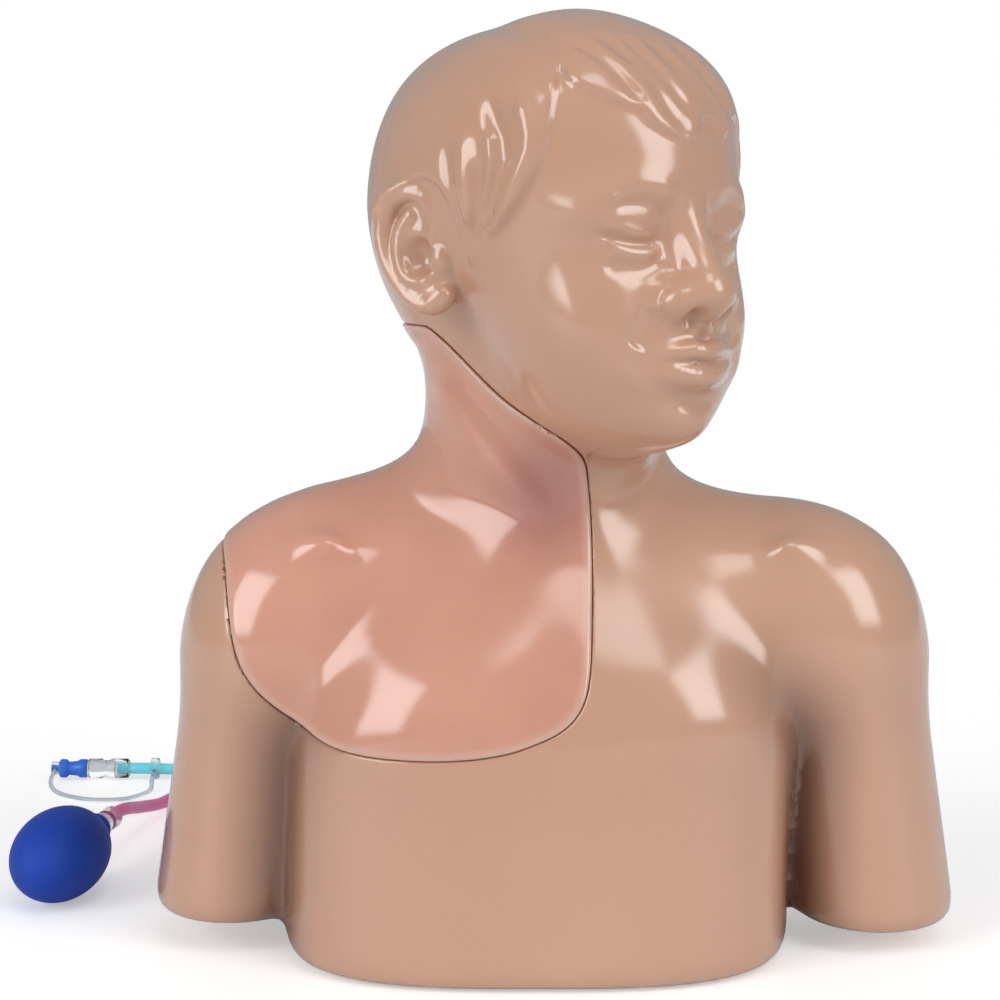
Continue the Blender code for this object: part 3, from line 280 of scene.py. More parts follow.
def noise(tree, scale, detail):
    """A soft noise on a piece's own coordinates."""
    place = added(tree, "ShaderNodeTexCoord")
    drift = added(tree, "ShaderNodeTexNoise", {"Vector": place.outputs["Object"], "Scale": scale,
                                               "Detail": detail})
    return drift.outputs["Fac"]


def clouded(tree, scale, detail, dark, light, low, high):
    """A colour that drifts between two tones, from where the noise is low to where it is high."""
    blend = added(tree, "ShaderNodeValToRGB", {"Fac": noise(tree, scale, detail)})
    for tone, position, colour in zip(blend.color_ramp.elements, (low, high), (dark, light)):
        tone.position = position
        tone.color = (*colour, 1)
    return blend.outputs["Color"]


def clear_wall(name, colour, roughness, transmission=1.0, alpha=1.0):
    """A clear, faintly tinted plastic with fine scuffs in its gloss."""
    made, tree, shader = new_material(name)
    spread = added(tree, "ShaderNodeMapRange", {"Value": noise(tree, 900, 3), "To Min": roughness * 0.6,
                                                "To Max": roughness * 1.6})
    fill(shader, {"Base Color": (*colour, 1), "Transmission Weight": transmission, "IOR": 1.42,
                  "Alpha": alpha, "Roughness": spread.outputs["Result"]})
    return made


def fluid(name, deep, pale):
    """A dyed fluid, a little uneven along the hose."""
    made, tree, shader = new_material(name)
    fill(shader, {"Base Color": clouded(tree, 55, 2, deep, pale, 0.35, 0.70), "Roughness": 0.25,
                  "Subsurface Weight": 0.3, "Subsurface Radius": (0.002, 0.002, 0.002)})
    return made


HOSE_CLEAR = clear_wall("clear_hose", (0.97, 0.98, 1.0), 0.05, transmission=0.0, alpha=0.07)
PINK_FLUID = fluid("pink_fluid", (1.0, 0.09, 0.42), (1.0, 0.16, 0.52))
BLUE_FLUID = fluid("blue_fluid", (0.10, 0.78, 1.0), (0.22, 0.92, 1.0))

artery_exit = hose_exit("artery_grommet")
artery_points = [artery_exit + Vector((0, TOUCH_GAP, 0)), artery_exit + Vector((0, 0.016, -0.0005)),
                 Vector((-0.0545, 0.1180, 0.0450)), Vector((-0.0630, 0.1480, 0.0240)),
                 Vector((-0.0780, 0.1780, 0.0085)), Vector((-0.1020, 0.2060, LYING)),
                 Vector((-0.1240, 0.2290, LYING)), Vector((-0.1500, 0.2395, LYING)),
                 Vector((-0.1710, 0.2335, LYING)), Vector((-0.1820, 0.2160, LYING)),
                 Vector((-0.1880, 0.1900, 0.0065)), Vector((-0.1925, 0.1600, 0.0130)),
                 collar_end + BULB_AXIS * 0.012, collar_end - BULB_AXIS * SOCKET]
vein_exit = hose_exit("vein_grommet")
vein_points = [vein_exit + Vector((0, TOUCH_GAP, 0)), vein_exit + Vector((0, 0.016, -0.0005)),
               Vector((-0.0250, 0.1220, 0.0470)), Vector((-0.0300, 0.1560, 0.0270)),
               Vector((-0.0420, 0.1900, 0.0100)), Vector((-0.0620, 0.2220, LYING)),
               Vector((-0.0880, 0.2480, LYING)), Vector((-0.1200, 0.2610, LYING)),
               Vector((-0.1560, 0.2650, LYING)), Vector((-0.1860, 0.2640, 0.0050)),
               CONNECTOR_START + Vector((0.008, 0, 0)), CONNECTOR_START - Vector((SOCKET, 0, 0))]

FINE_STEP = 0.6 * HOSE_DIAMETER
for name, points, last_way, colour in (("artery", artery_points, -BULB_AXIS, PINK_FLUID),
                                       ("vein", vein_points, CONNECTOR_AXIS, BLUE_FLUID)):
    route = straight_ends(resting(spaced(points, FINE_STEP), HOSE_DIAMETER), BACKWARDS, last_way)
    wall = round_line(name + "_hose_wall", route, HOSE_DIAMETER)
    wall.data.materials.append(HOSE_CLEAR)
    core_start = route[0] + (route[1] - route[0]) * 0.2
    filled = [core_start, *route[1:-1], route[-1] + (route[-2] - route[-1]) * 0.2]
    core = round_line(name + "_hose_fluid", filled, HOSE_DIAMETER - 2 * HOSE_WALL)
    core.data.materials.append(colour)
    for piece in (wall, core):
        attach(piece, "root")
    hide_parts(name + "_hose")


# The pulse bulb is moulded in matt blue rubber, 41 mm thick, with a short rolled neck that grips the collar.
# It lies on its side at the trainer's right and is squeezed by hand to make the artery pulse.
BULB_NECK_DIAMETER = 0.015
SPIGOT = 0.006
SPIGOT_DIAMETER = 0.0060


def merged(piece):
    """Joins a new mesh's doubled points and turns its faces outwards."""
    only(piece)
    bpy.ops.object.mode_set(mode="EDIT")
    bpy.ops.mesh.select_all(action="SELECT")
    bpy.ops.mesh.remove_doubles(threshold=0.00001)
    bpy.ops.mesh.normals_make_consistent(inside=False)
    bpy.ops.object.mode_set(mode="OBJECT")


def turned(name, profile, place, axis, steps=64, rounding=0.0003):
    """Spins a closed profile of (radius, height) round into a solid, and lays it at a place along an axis."""
    mesh = bpy.data.meshes.new(name)
    edges = [(number, number + 1) for number in range(len(profile) - 1)]
    if profile[0][0] > 0:
        edges.append((len(profile) - 1, 0))
    mesh.from_pydata([(radius, 0, height) for radius, height in profile], edges, [])
    piece = put_in(name, mesh)
    only(piece)
    bpy.ops.object.mode_set(mode="EDIT")
    bpy.ops.mesh.select_all(action="SELECT")
    bpy.ops.mesh.spin(steps=steps, angle=math.tau, center=(0, 0, 0), axis=(0, 0, 1))
    bpy.ops.object.mode_set(mode="OBJECT")
    merged(piece)
    soften = piece.modifiers.new("rounded_edges", "BEVEL")
    soften.width = rounding
    soften.segments = 2
    soften.limit_method = "ANGLE"
    soften.angle_limit = math.radians(40)
    bpy.ops.object.modifier_apply(modifier=soften.name)
    turn = Vector(axis).to_track_quat("Z", "Y").to_matrix().to_4x4()
    piece.data.transform(Matrix.Translation(place) @ turn)
    bpy.ops.object.shade_smooth_by_angle(angle=math.radians(35))
    return piece


def relief(tree, scale, detail, strength, depth):
    """A fine grain in a surface."""
    raised = added(tree, "ShaderNodeBump", {"Height": noise(tree, scale, detail), "Strength": strength,
                                            "Distance": depth})
    return raised.outputs["Normal"]


def rubber(name, dark, light, roughness, grain, specular=0.5):
    """A matt rubber with a fine grain and a faintly clouded colour."""
    made, tree, shader = new_material(name)
    fill(shader, {"Base Color": clouded(tree, 38, 5, dark, light, 0.30, 0.75), "Roughness": roughness,
                  "Specular IOR Level": specular, "Normal": relief(tree, 2600, 2, grain, 0.0001)})
    return made


bulb_top = BULB_LENGTH / 2 + BULB_NECK_LENGTH
neck_radius = BULB_NECK_DIAMETER / 2
spigot_hole = SPIGOT_DIAMETER / 2 + TOUCH_GAP
spigot_depth = SPIGOT + 2 * TOUCH_GAP
oval = []
for step in range(1, 44):
    turn = math.pi * step / 44
    radius = BULB_DIAMETER / 2 * math.sin(turn)
    height = BULB_LENGTH / 2 * math.cos(turn)
    if height > 0 and radius < neck_radius + 0.001:
        continue
    oval.append((radius, height))
bulb_profile = [(0, bulb_top - spigot_depth), (spigot_hole, bulb_top - spigot_depth),
                (spigot_hole, bulb_top), (neck_radius - 0.0008, bulb_top), (neck_radius, bulb_top - 0.0008),
                (neck_radius, bulb_top - 0.0030), (neck_radius - 0.0008, bulb_top - 0.0045),
                (neck_radius, BULB_LENGTH / 2 - 0.001), *oval, (0, -BULB_LENGTH / 2)]
bulb = turned("pulse_bulb", bulb_profile, BULB_MIDDLE, BULB_AXIS, 96)
bulb.data.materials.append(rubber("blue_bulb_rubber", (0.008, 0.048, 0.380), (0.014, 0.072, 0.500), 0.55,
                                  0.25, specular=0.25))
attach(bulb, "root")
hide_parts("squeeze_bulb")


# A clear moulded fitting joins each hose to what it ends in: it has a socket for the hose, a waist for the
# fingers and a spigot. One sits in the bulb's neck, the other in the stopper.
CONNECTOR_DIAMETER = 0.0105
CONNECTOR_LENGTH = 0.022
FITTING_WAIST = 0.0008
FITTING_EDGE = 0.0006


def fitting(name, place, axis, length):
    """A clear fitting with its socket at the place, and its spigot beyond its length along the axis."""
    radius = CONNECTOR_DIAMETER / 2
    waist = radius - FITTING_WAIST
    edge = radius - FITTING_EDGE
    socket = HOSE_DIAMETER / 2 + TOUCH_GAP
    profile = [(0, SOCKET + TOUCH_GAP), (socket, SOCKET + TOUCH_GAP), (socket, 0), (edge, 0),
               (radius, FITTING_EDGE), (radius, 0.42 * length), (waist, 0.48 * length),
               (waist, 0.60 * length), (radius, 0.66 * length), (radius, length - FITTING_EDGE),
               (edge, length), (SPIGOT_DIAMETER / 2, length), (SPIGOT_DIAMETER / 2, length + SPIGOT),
               (0, length + SPIGOT)]
    piece = turned(name, profile[::-1], place, axis)
    piece.data.materials.append(FITTING_CLEAR)
    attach(piece, "root")
    return piece


FITTING_CLEAR = clear_wall("clear_fitting", (0.93, 0.96, 0.99), 0.06)
collar = fitting("clear_bulb_collar", collar_end, -BULB_AXIS, COLLAR_LENGTH)
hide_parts("bulb_collar")
connector = fitting("clear_hose_connector", CONNECTOR_START, CONNECTOR_AXIS, CONNECTOR_LENGTH)
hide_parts("vein_connector")


# The stopper is a small blue moulded plug with a grip between two flanges, and a nipple that holds its
# tether. It is pushed on the connector's spigot to close the vein's hose.
PLUG_DIAMETER = 0.0100
PLUG_LENGTH = 0.015
NIPPLE_DIAMETER = 0.0040
NIPPLE_LENGTH = 0.0045
plug_start = CONNECTOR_START - Vector((CONNECTOR_LENGTH + TOUCH_GAP, 0, 0))
plug_radius = PLUG_DIAMETER / 2
nipple_radius = NIPPLE_DIAMETER / 2
plug_profile = [(0, spigot_depth), (spigot_hole, spigot_depth), (spigot_hole, 0),
                (plug_radius - 0.0006, 0), (plug_radius, 0.0006), (plug_radius, 0.0040),
                (plug_radius - 0.0010, 0.0055), (plug_radius - 0.0014, PLUG_LENGTH - 0.0050),
                (plug_radius, PLUG_LENGTH - 0.0035), (plug_radius, PLUG_LENGTH - 0.0006),
                (plug_radius - 0.0006, PLUG_LENGTH), (nipple_radius, PLUG_LENGTH),
                (nipple_radius, PLUG_LENGTH + NIPPLE_LENGTH), (0, PLUG_LENGTH + NIPPLE_LENGTH)]
plug = turned("blue_stopper", plug_profile[::-1], plug_start, CONNECTOR_AXIS)
plug.data.materials.append(rubber("blue_plug_plastic", (0.022, 0.150, 0.700), (0.035, 0.200, 0.860), 0.34,
                                  0.10))
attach(plug, "root")
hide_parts("vein_plug")


# A thin clear strap keeps the stopper with its hose: a ring round the nipple, a ring round the hose, and
# a soft 2.4 mm cord between them that lies on the table in one open loop.
TETHER_DIAMETER = 0.0024
TETHER_RING_WALL = 0.0013
TETHER_RING_WIDTH = 0.0040
nipple_ring_place = plug_start - Vector((PLUG_LENGTH + TOUCH_GAP + TETHER_RING_WIDTH / 2, 0, 0))
hose_ring_place = Vector((-0.2020, 0.2630, CONNECTOR_HEIGHT))
tether_height = TETHER_DIAMETER / 2 + LYING_GAP
tether_points = [nipple_ring_place + Vector((0, -nipple_radius - 0.0010, -0.0005)),
                 Vector((nipple_ring_place.x, 0.2480, tether_height)),
                 Vector((-0.2480, 0.2290, tether_height)), Vector((-0.2300, 0.2160, tether_height)),
                 Vector((-0.2110, 0.2170, tether_height)), Vector((-0.2010, 0.2330, tether_height)),
                 Vector((hose_ring_place.x, 0.2500, 0.0030)),
                 hose_ring_place + Vector((0, -HOSE_DIAMETER / 2 - 0.0010, -0.0005))]
tether_route = resting(spaced(tether_points, 0.8 * TETHER_DIAMETER), TETHER_DIAMETER)
TETHER_CLEAR = clear_wall("clear_tether", (0.90, 0.95, 1.0), 0.16)
tether = round_line("stopper_tether", tether_route, TETHER_DIAMETER)
tether.data.materials.append(TETHER_CLEAR)
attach(tether, "root")
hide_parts("plug_tether")
half = TETHER_RING_WIDTH / 2
for name, place, inner in (("stopper_ring", nipple_ring_place, nipple_radius + TOUCH_GAP),
                           ("hose_ring", hose_ring_place, HOSE_DIAMETER / 2 + TOUCH_GAP)):
    outer = inner + TETHER_RING_WALL
    ring = turned(name, [(outer, half), (outer, -half), (inner, -half), (inner, half)], place, (1, 0, 0))
    ring.data.materials.append(TETHER_CLEAR)
    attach(ring, "root")


# Each hose leaves the shell through a black rubber grommet, pushed into a hole with a spot face in the
# back. A broad flange lies in the spot face and a barb behind the wall holds it.
GROMMET_DIAMETER = 0.0135
GROMMET_FLANGE_DIAMETER = 0.020
GROMMET_FLANGE = 0.0025
GROMMET_GRIP = 0.0022
GROMMET_EDGE = 0.0006
SHELL_WALL = 0.004
GROMMET_RUBBER = rubber("black_grommet_rubber", (0.020, 0.020, 0.022), (0.045, 0.045, 0.048), 0.55, 0.35)
flange = GROMMET_FLANGE_DIAMETER / 2
waist = GROMMET_DIAMETER / 2
bore = HOSE_DIAMETER / 2 + TOUCH_GAP
lip = -SHELL_WALL - GROMMET_GRIP
grommet_profile = [(bore, GROMMET_FLANGE), (flange - GROMMET_EDGE, GROMMET_FLANGE),
                   (flange, GROMMET_FLANGE - GROMMET_EDGE), (flange, 0), (waist, 0), (waist, lip),
                   (waist + 0.0012, lip - 0.0012), (waist - 0.001, lip - 0.004), (bore, lip - 0.004)]
for name, outer_end in (("vein_grommet", vein_exit), ("artery_grommet", artery_exit)):
    seat_place = outer_end - Vector((0, GROMMET_FLANGE, 0))
    piece = turned("moulded_" + name, grommet_profile, seat_place, BACKWARDS)
    piece.data.materials.append(GROMMET_RUBBER)
    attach(piece, "root")
    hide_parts(name)


# The bust is one moulded shell of glossy tan plastic, 4 mm thick and hollow, with the head turned to its
# left. Its skin is the drawn surface that the part is cut from, evened to cells of 3 mm and made finer over
# the head, and finest on the lids, the lips, the ears, the locks of hair and the pocket's rim.
CHEST_BREADTH = 0.210
CHEST_DEPTH = 0.146
CHEST_TOP = 0.168
BASE_ROUNDING = 0.009
SHOULDER_HEIGHT = 0.146
SHOULDER_REACH = 0.120
SHOULDER_RADIUS = 0.036
ARM_SPREAD = 0.1418
ARM_RADIUS = 0.0345
ARM_CLEARANCES = (0.0130, 0.0085)
ARM_END_ROUNDING = 0.017
UPPER_BODY_SHIFT = 0.0077
NECK_BREADTH = 0.096
NECK_DEPTH = 0.088
HEAD_LENGTH = 0.163
HEAD_BREADTH = 0.131
HEAD_HEIGHT = 0.171
HEAD_TURN = math.radians(40)
EYE_LINE = Vector((0.0085, -0.008, 0.297))
NAPE_LINE = EYE_LINE.z - 0.216 * HEAD_HEIGHT
JAW_LINE = EYE_LINE.z - 0.380 * HEAD_HEIGHT
HEAD_PATTERN = Vector((83.0, 67.0, 85.5))
HEAD_SPARE = 0.006
HAIR_THICKNESS = 2.8
HAIR_SPREAD = 1.15
HAIRLINE = [(-181, -47), (-150, -46), (-127, -38), (-117, -12), (-107, 12), (-96, 21), (-86, 19),
            (-80, 10), (-77.5, -1), (-74.5, -11), (-70, -2), (-67, 4), (-64, 0), (-56, 10), (-48, 24),
            (-44.5, 38), (-43, 50), (-41.5, 61), (-37, 56), (-26, 49.5), (-17, 46.5), (-13, 41), (-2, 35),
            (5, 43), (11, 43), (17, 38), (24, 44), (33, 45), (42, 37), (48, 23), (57, 9), (65, -1), (69, 5),
            (75, -10), (79, 8), (86, 19), (96, 21), (107, 12), (117, -12), (127, -38), (150, -46),
            (181, -47)]
HAIR_FOLDS = [
    ([(57, -44, 55), (44, -44, 66), (25, -38, 77), (0, -33, 82), (-28, -22, 83)], 3.6, 2.0),
    ([(24, -59, 53), (37, -62, 31), (31, -63, 12), (28, -62, 2)], 2.2, 2.4),
    ([(27, -66, 30), (25, -64, 8), (19, -62, -6)], 2.0, 1.8),
    ([(9, -67, 38), (13, -68, 18), (17, -64, 2), (17, -61, -12)], 1.9, 1.7),
    ([(37, -56, 55), (45, -57, 42), (47, -58, 31), (39, -60, 13), (31, -61, 2)], 2.8, -1.8),
    ([(30, -62, 42), (33, -64, 24), (27, -64, 6)], 2.2, -1.2),
    ([(18, -66, 40), (20, -67, 20), (21, -64, 0)], 2.8, -1.2),
    ([(43, -23, 77), (65, -15, 63), (76, -9, 47), (82, -2, 36)], 2.4, 1.8),
    ([(49, -13, 76), (67, -8, 62), (78, 0, 45)], 2.0, 1.4),
    ([(52, -3, 75), (72, 7, 57), (77, 20, 41)], 2.4, 1.7),
    ([(40, -34, 74), (60, -27, 62), (72, -20, 47)], 2.0, 1.1),
    ([(50, 10, 75), (66, 20, 58), (70, 30, 43)], 2.2, 1.4),
    ([(40, 24, 74), (55, 36, 57), (56, 44, 40)], 2.2, 1.3),
    ([(58, -18, 69), (72, -11, 54), (80, -4, 41)], 2.0, -0.9),
    ([(62, 0, 68), (75, 11, 50), (78, 18, 40)], 2.2, -1.0),
    ([(24, 59, 53), (37, 62, 31), (31, 63, 12), (28, 62, 2)], 2.2, 2.0),
    ([(27, 66, 30), (25, 64, 8), (19, 62, -6)], 2.0, 1.6),
    ([(9, 67, 38), (13, 68, 18), (17, 64, 2)], 1.9, 1.5),
    ([(37, 56, 55), (45, 57, 42), (46, 58, 28), (38, 60, 10)], 2.8, -1.5),
]
BACK_STRANDS = 10
LOCK_DEPTH = 1.25
LOCK_BREADTH = 1.45
WEB_RADIUS = 0.013
WEB_SPARE = 0.004
INSERT_THICKNESS = 0.020
INSERT_PROUD = 0.001
INSERT_REAR = 0.024
FIT_GAP = 0.0001
SEAT_GAP = 0.0010


def smooth_union(a, b, width):
    """The nearer of two distances, rounded with an even curvature where they meet."""
    overlap = np.maximum(width - np.abs(a - b), 0.0) / width
    return np.minimum(a, b) - overlap**3 * width / 6


def smooth_cut(a, b, width):
    """The first solid with the second taken out of it, with a rounded rim."""
    return -smooth_union(-a, b, width)


def smooth_common(a, b, width):
    """What two solids have in common, with a rounded rim."""
    return -smooth_union(-a, -b, width)


def egg(p, centre, radii):
    """Distance to an ellipsoid with its axes along X, Y and Z."""
    offset = p - np.array(centre)
    near = np.linalg.norm(offset / np.array(radii), axis=1)
    slope = np.linalg.norm(offset / np.array(radii) ** 2, axis=1)
    return near * (near - 1) / np.maximum(slope, 1e-9)


def rod(p, start, end, start_radius, end_radius):
    """Distance to a straight tapered rod with round ends."""
    start, along = np.array(start), np.array(end) - np.array(start)
    share = np.clip((p - start) @ along / (along @ along), 0, 1)
    centre = start + share[:, None] * along
    return np.linalg.norm(p - centre, axis=1) - (start_radius + (end_radius - start_radius) * share)


def from_line(p, points, count=9):
    """Distance to a smooth curve, and how far along it the nearest place is, from 0 to 1."""
    line = [np.array(point) for point in curve_points(points, count)]
    nearest = np.full(len(p), np.inf)
    place = np.zeros(len(p))
    for number, (start, end) in enumerate(zip(line, line[1:])):
        along = end - start
        share = np.clip((p - start) @ along / (along @ along), 0, 1)
        gap = np.linalg.norm(p - start - share[:, None] * along, axis=1)
        place = np.where(gap < nearest, (number + share) / (count - 1), place)
        nearest = np.minimum(nearest, gap)
    return nearest, place


def hump(p, centre, spread, height):
    """How far a soft swelling, or a hollow with a negative height, moves the surface."""
    return height * np.exp(-(((p - np.array(centre)) / np.array(spread)) ** 2).sum(axis=1))


def fold(p, points, width, height):
    """A ridge, or a crease with a negative height, along a curve, fading out at both ends."""
    line = np.array(curve_points(points, 9))
    reach = 3 * width
    near = ((p > line.min(axis=0) - reach) & (p < line.max(axis=0) + reach)).all(axis=1)
    moved = np.zeros(len(p))
    gap, place = from_line(p[near], points)
    fade = np.clip(5 * np.minimum(place, 1 - place), 0, 1)
    moved[near] = height * fade**2 * (3 - 2 * fade) * np.exp(-((gap / width) ** 2))
    return moved


def drawn(q, points, width, height):
    """A fold drawn straight onto the front of the face, along a curve given as (across, up)."""
    return fold(q * [0, 1, 1], [(0, across, up) for across, up in points], width, height) * (q[:, 0] > 25)


def dent(q, across, up, spread, height):
    """A hump drawn straight onto the front of the face, whose spread is (across, up)."""
    return hump(q * [0, 1, 1], (0, across, up), (1, *spread), height) * (q[:, 0] > 25)


def trunk(p):
    """The trunk: an oval column with a flat, round-edged base and a domed top, leaning to its left."""
    lean = UPPER_BODY_SHIFT * np.clip(p[:, 2] / CHEST_TOP, 0, 1) ** 2
    dome_start = 0.5 * CHEST_TOP
    x = (p[:, 0] - lean) / (CHEST_BREADTH / 2)
    y = (p[:, 1] - 0.002) / (CHEST_DEPTH / 2)
    z = np.maximum(p[:, 2] - dome_start, 0) / (CHEST_TOP - dome_start)
    round_share = (np.abs(x) ** 2.8 + np.abs(y) ** 2.8) ** (2 / 2.8) + z**2
    size = np.sqrt(np.maximum(round_share, 1e-9))
    reach = np.linalg.norm(np.stack([p[:, 0] - lean, p[:, 1], z * (CHEST_TOP - dome_start)]), axis=0)
    return reach * (1 - 1 / np.maximum(size, 1e-3))


def shoulders_and_arms(p):
    """The yoke across the shoulders, the deltoids, and the upper arms with their closed, round ends."""
    middle = UPPER_BODY_SHIFT
    yoke_radius = SHOULDER_RADIUS - 0.002
    yoke = rod(p * [1, 0.92, 1], (middle - SHOULDER_REACH + 0.028, 0.006, SHOULDER_HEIGHT),
               (middle + SHOULDER_REACH - 0.028, 0.006, SHOULDER_HEIGHT), yoke_radius, yoke_radius)
    body = yoke
    for side, clearance in zip((-1, 1), ARM_CLEARANCES):
        joint = (middle + side * (SHOULDER_REACH - 0.006), 0.004, SHOULDER_HEIGHT - 0.013)
        armpit = (middle + side * SHOULDER_REACH, 0.005, SHOULDER_HEIGHT - 0.030)
        foot = (middle + side * ARM_SPREAD, 0.008, -0.03)
        deltoid = egg(p, joint, (SHOULDER_RADIUS * 0.99, SHOULDER_RADIUS * 1.05, SHOULDER_RADIUS * 1.20))
        arm = rod(p * [1, 0.93, 1], armpit, foot, ARM_RADIUS * 0.98, ARM_RADIUS)
        arm = smooth_common(arm, clearance - p[:, 2], ARM_END_ROUNDING)
        body = smooth_union(body, smooth_union(deltoid, arm, 0.03), 0.035)
    return body


def neck(p):
    """The neck, rising a little forwards, and the slopes of the shoulder muscles behind it."""
    squeeze = NECK_BREADTH / NECK_DEPTH
    column = rod(p * [1, squeeze, 1], (0.005, 0.014, 0.150), (0.002, 0.006, 0.270), NECK_BREADTH / 2 + 0.001,
                 NECK_BREADTH / 2 - 0.001)
    for side, drop in ((-1, 0.0), (1, 0.010)):
        muscle = [(0.003 + side * 0.024, 0.020, 0.187 - drop),
                  (UPPER_BODY_SHIFT + side * 0.088, 0.014, SHOULDER_HEIGHT + 0.021 - drop),
                  (UPPER_BODY_SHIFT + side * 0.116, 0.010, SHOULDER_HEIGHT)]
        gap, place = from_line(p, muscle, 9)
        column = smooth_union(column, gap - 0.021 + 0.004 * place**3, 0.040)
    return column


def head_axes():
    """The head's own directions: forwards, to its left, and up."""
    turn = HEAD_TURN
    return np.array([[math.sin(turn), -math.cos(turn), 0], [math.cos(turn), math.sin(turn), 0], [0, 0, 1]])


def head_scale():
    """The metres that a millimetre of the head's pattern stands for, along each of the head's axes."""
    return np.array([HEAD_LENGTH, HEAD_BREADTH, HEAD_HEIGHT]) / 2 / np.array(HEAD_PATTERN)


def on_pattern(p):
    """Points of the model as millimetres on the head's pattern."""
    return (p - np.array(EYE_LINE)) @ head_axes().T / head_scale()


def cranium_and_jaw(q):
    """The skull, the full cheeks and the small jaw of a young child, with no features."""
    head = egg(q, (-3, 0, 19), (82, 66.5, 68))
    for side in (-1, 1):
        head = head - hump(q, (44, side * 36, 56), (30, 30, 26), 5.5)
        head = head + hump(q, (-36, side * 28, 72), (36, 34, 20), 2.0)
        head = head + hump(q, (64, side * 42, 26), (26, 22, 20), 1.0)
    head = head + hump(q, (-14, -12, 86), (22, 24, 16), 3.6) - hump(q, (-50, -24, 58), (20, 22, 22), 2.6)
    head = smooth_union(head, egg(q, (-34, 0, -8), (46, 50, 48)), 30)
    face = egg(q, (31, 0, -22), (45, 51, 58))
    head = smooth_union(head, face, 26)
    jaw = egg(q, (40, 0, -58), (40, 36, 28))
    return smooth_union(head, jaw, 26)


def eyes(q, head):
    """Closed lids under a soft brow: a rounded lid, the slit, the crease over it and the fold below."""
    for side in (-1, 1):
        head = head + dent(q, side * 21, 2, (18, 12), 4.8) + dent(q, side * 11.5, 0, (5, 8), 2.2)
        head = head - hump(q, (66, side * 40, 9), (15, 12, 9), 3.6)
        head = head - drawn(q, [(side * 8, 11), (side * 19, 18), (side * 31, 18), (side * 42, 12)], 5.5, 1.4)
        head = head - dent(q, side * 25, 2.0, (13, 8.5), 4.0)
        slit = [(side * 40, 2.0), (side * 33, -1.0), (side * 25, -2.8), (side * 18, -2.8), (side * 12, -1.2)]
        lashes = [(side * 38, 4.0), (side * 30, 2.0), (side * 24, 0.2), (side * 17, 0.2)]
        crease = [(side * 40, 6.5), (side * 33, 10.5), (side * 24, 12), (side * 16, 9), (side * 13, 4)]
        pouch = [(side * 36, -4.2), (side * 29, -6.8), (side * 21, -7.2), (side * 13, -4.8)]
        trough = [(side * 37, -9.5), (side * 29, -13), (side * 20, -13), (side * 12, -8)]
        head = head + drawn(q, slit, 1.9, 1.3) - drawn(q, lashes, 2.4, 0.5)
        head = head + drawn(q, crease, 2.2, 0.7) - drawn(q, pouch, 3.2, 1.0)
        head = head + drawn(q, trough, 4.0, 1.1)
    return head


def nose(q, head):
    """A small, broad nose with a low bridge, a flat underside, round wings and shallow nostrils."""
    bridge = rod(q, (73, 0, 7), (85.5, 0, -17), 5.5, 7.8)
    shape = smooth_union(bridge, egg(q, (87.5, 0, -21.5), (9, 10, 7.2)), 9)
    for side in (-1, 1):
        shape = smooth_union(shape, egg(q, (80, side * 11.4, -23.6), (8.6, 6.2, 6.0)), 8)
    head = smooth_union(head, shape, 14)
    head = smooth_union(head, rod(q, (87.5, 0, -26), (79, 0, -31), 3.4, 4.2), 7)
    for side in (-1, 1):
        head = head + hump(q, (86, side * 7.0, -30), (6.5, 3.8, 4.0), 2.5)
        head = head + fold(q, [(83, side * 17, -17), (79, side * 19, -23), (79, side * 17, -29)], 2.6, 1.1)
    return head


def mouth(q, head):
    """Two soft lips that meet in a gentle smile, the groove over them and the dimples beside them."""
    head = head - hump(q, (78, 0, -44), (18, 21, 15), 4.6)
    upper, place = from_line(q, [(73, -21, -46.5), (80, -13, -44.8), (85, -5, -43.2), (86, 0, -43.8),
                                 (85, 5, -43.2), (80, 13, -44.8), (73, 21, -46.5)], 19)
    upper = upper - 1.4 - 2.2 * np.sin(math.pi * place)
    lower, place = from_line(q, [(74, -19, -48.8), (79.5, -11, -51.4), (82.5, 0, -52.9), (79.5, 11, -51.4),
                                 (74, 19, -48.8)], 19)
    lower = lower - 1.2 - 4.4 * np.sin(math.pi * place)
    head = smooth_union(smooth_union(head, lower, 6), upper, 6)
    smile = [(-25, -46), (-18, -46.8), (-9, -46.9), (0, -47.6), (9, -46.9), (18, -46.8), (25, -46)]
    head = head + drawn(q, smile, 2.2, 0.9)
    head = head + drawn(q, [(0, -31), (0, -36), (0, -41)], 3.8, 0.9)
    for side in (-1, 1):
        head = head + dent(q, side * 25, -47.5, (4.6, 4.6), 1.3)
        head = head - dent(q, side * 31, -51, (6, 7), 1.2)
        head = head - hump(q, (60, side * 36, -37), (24, 21, 21), 7.5)
        head = head + drawn(q, [(side * 18, -27), (side * 23, -35), (side * 27, -43)], 4.5, 1.2)
    head = head + dent(q, 0, -62, (14, 4.6), 2.8)
    return head - hump(q, (77, 0, -75), (15, 15, 11), 5.0)


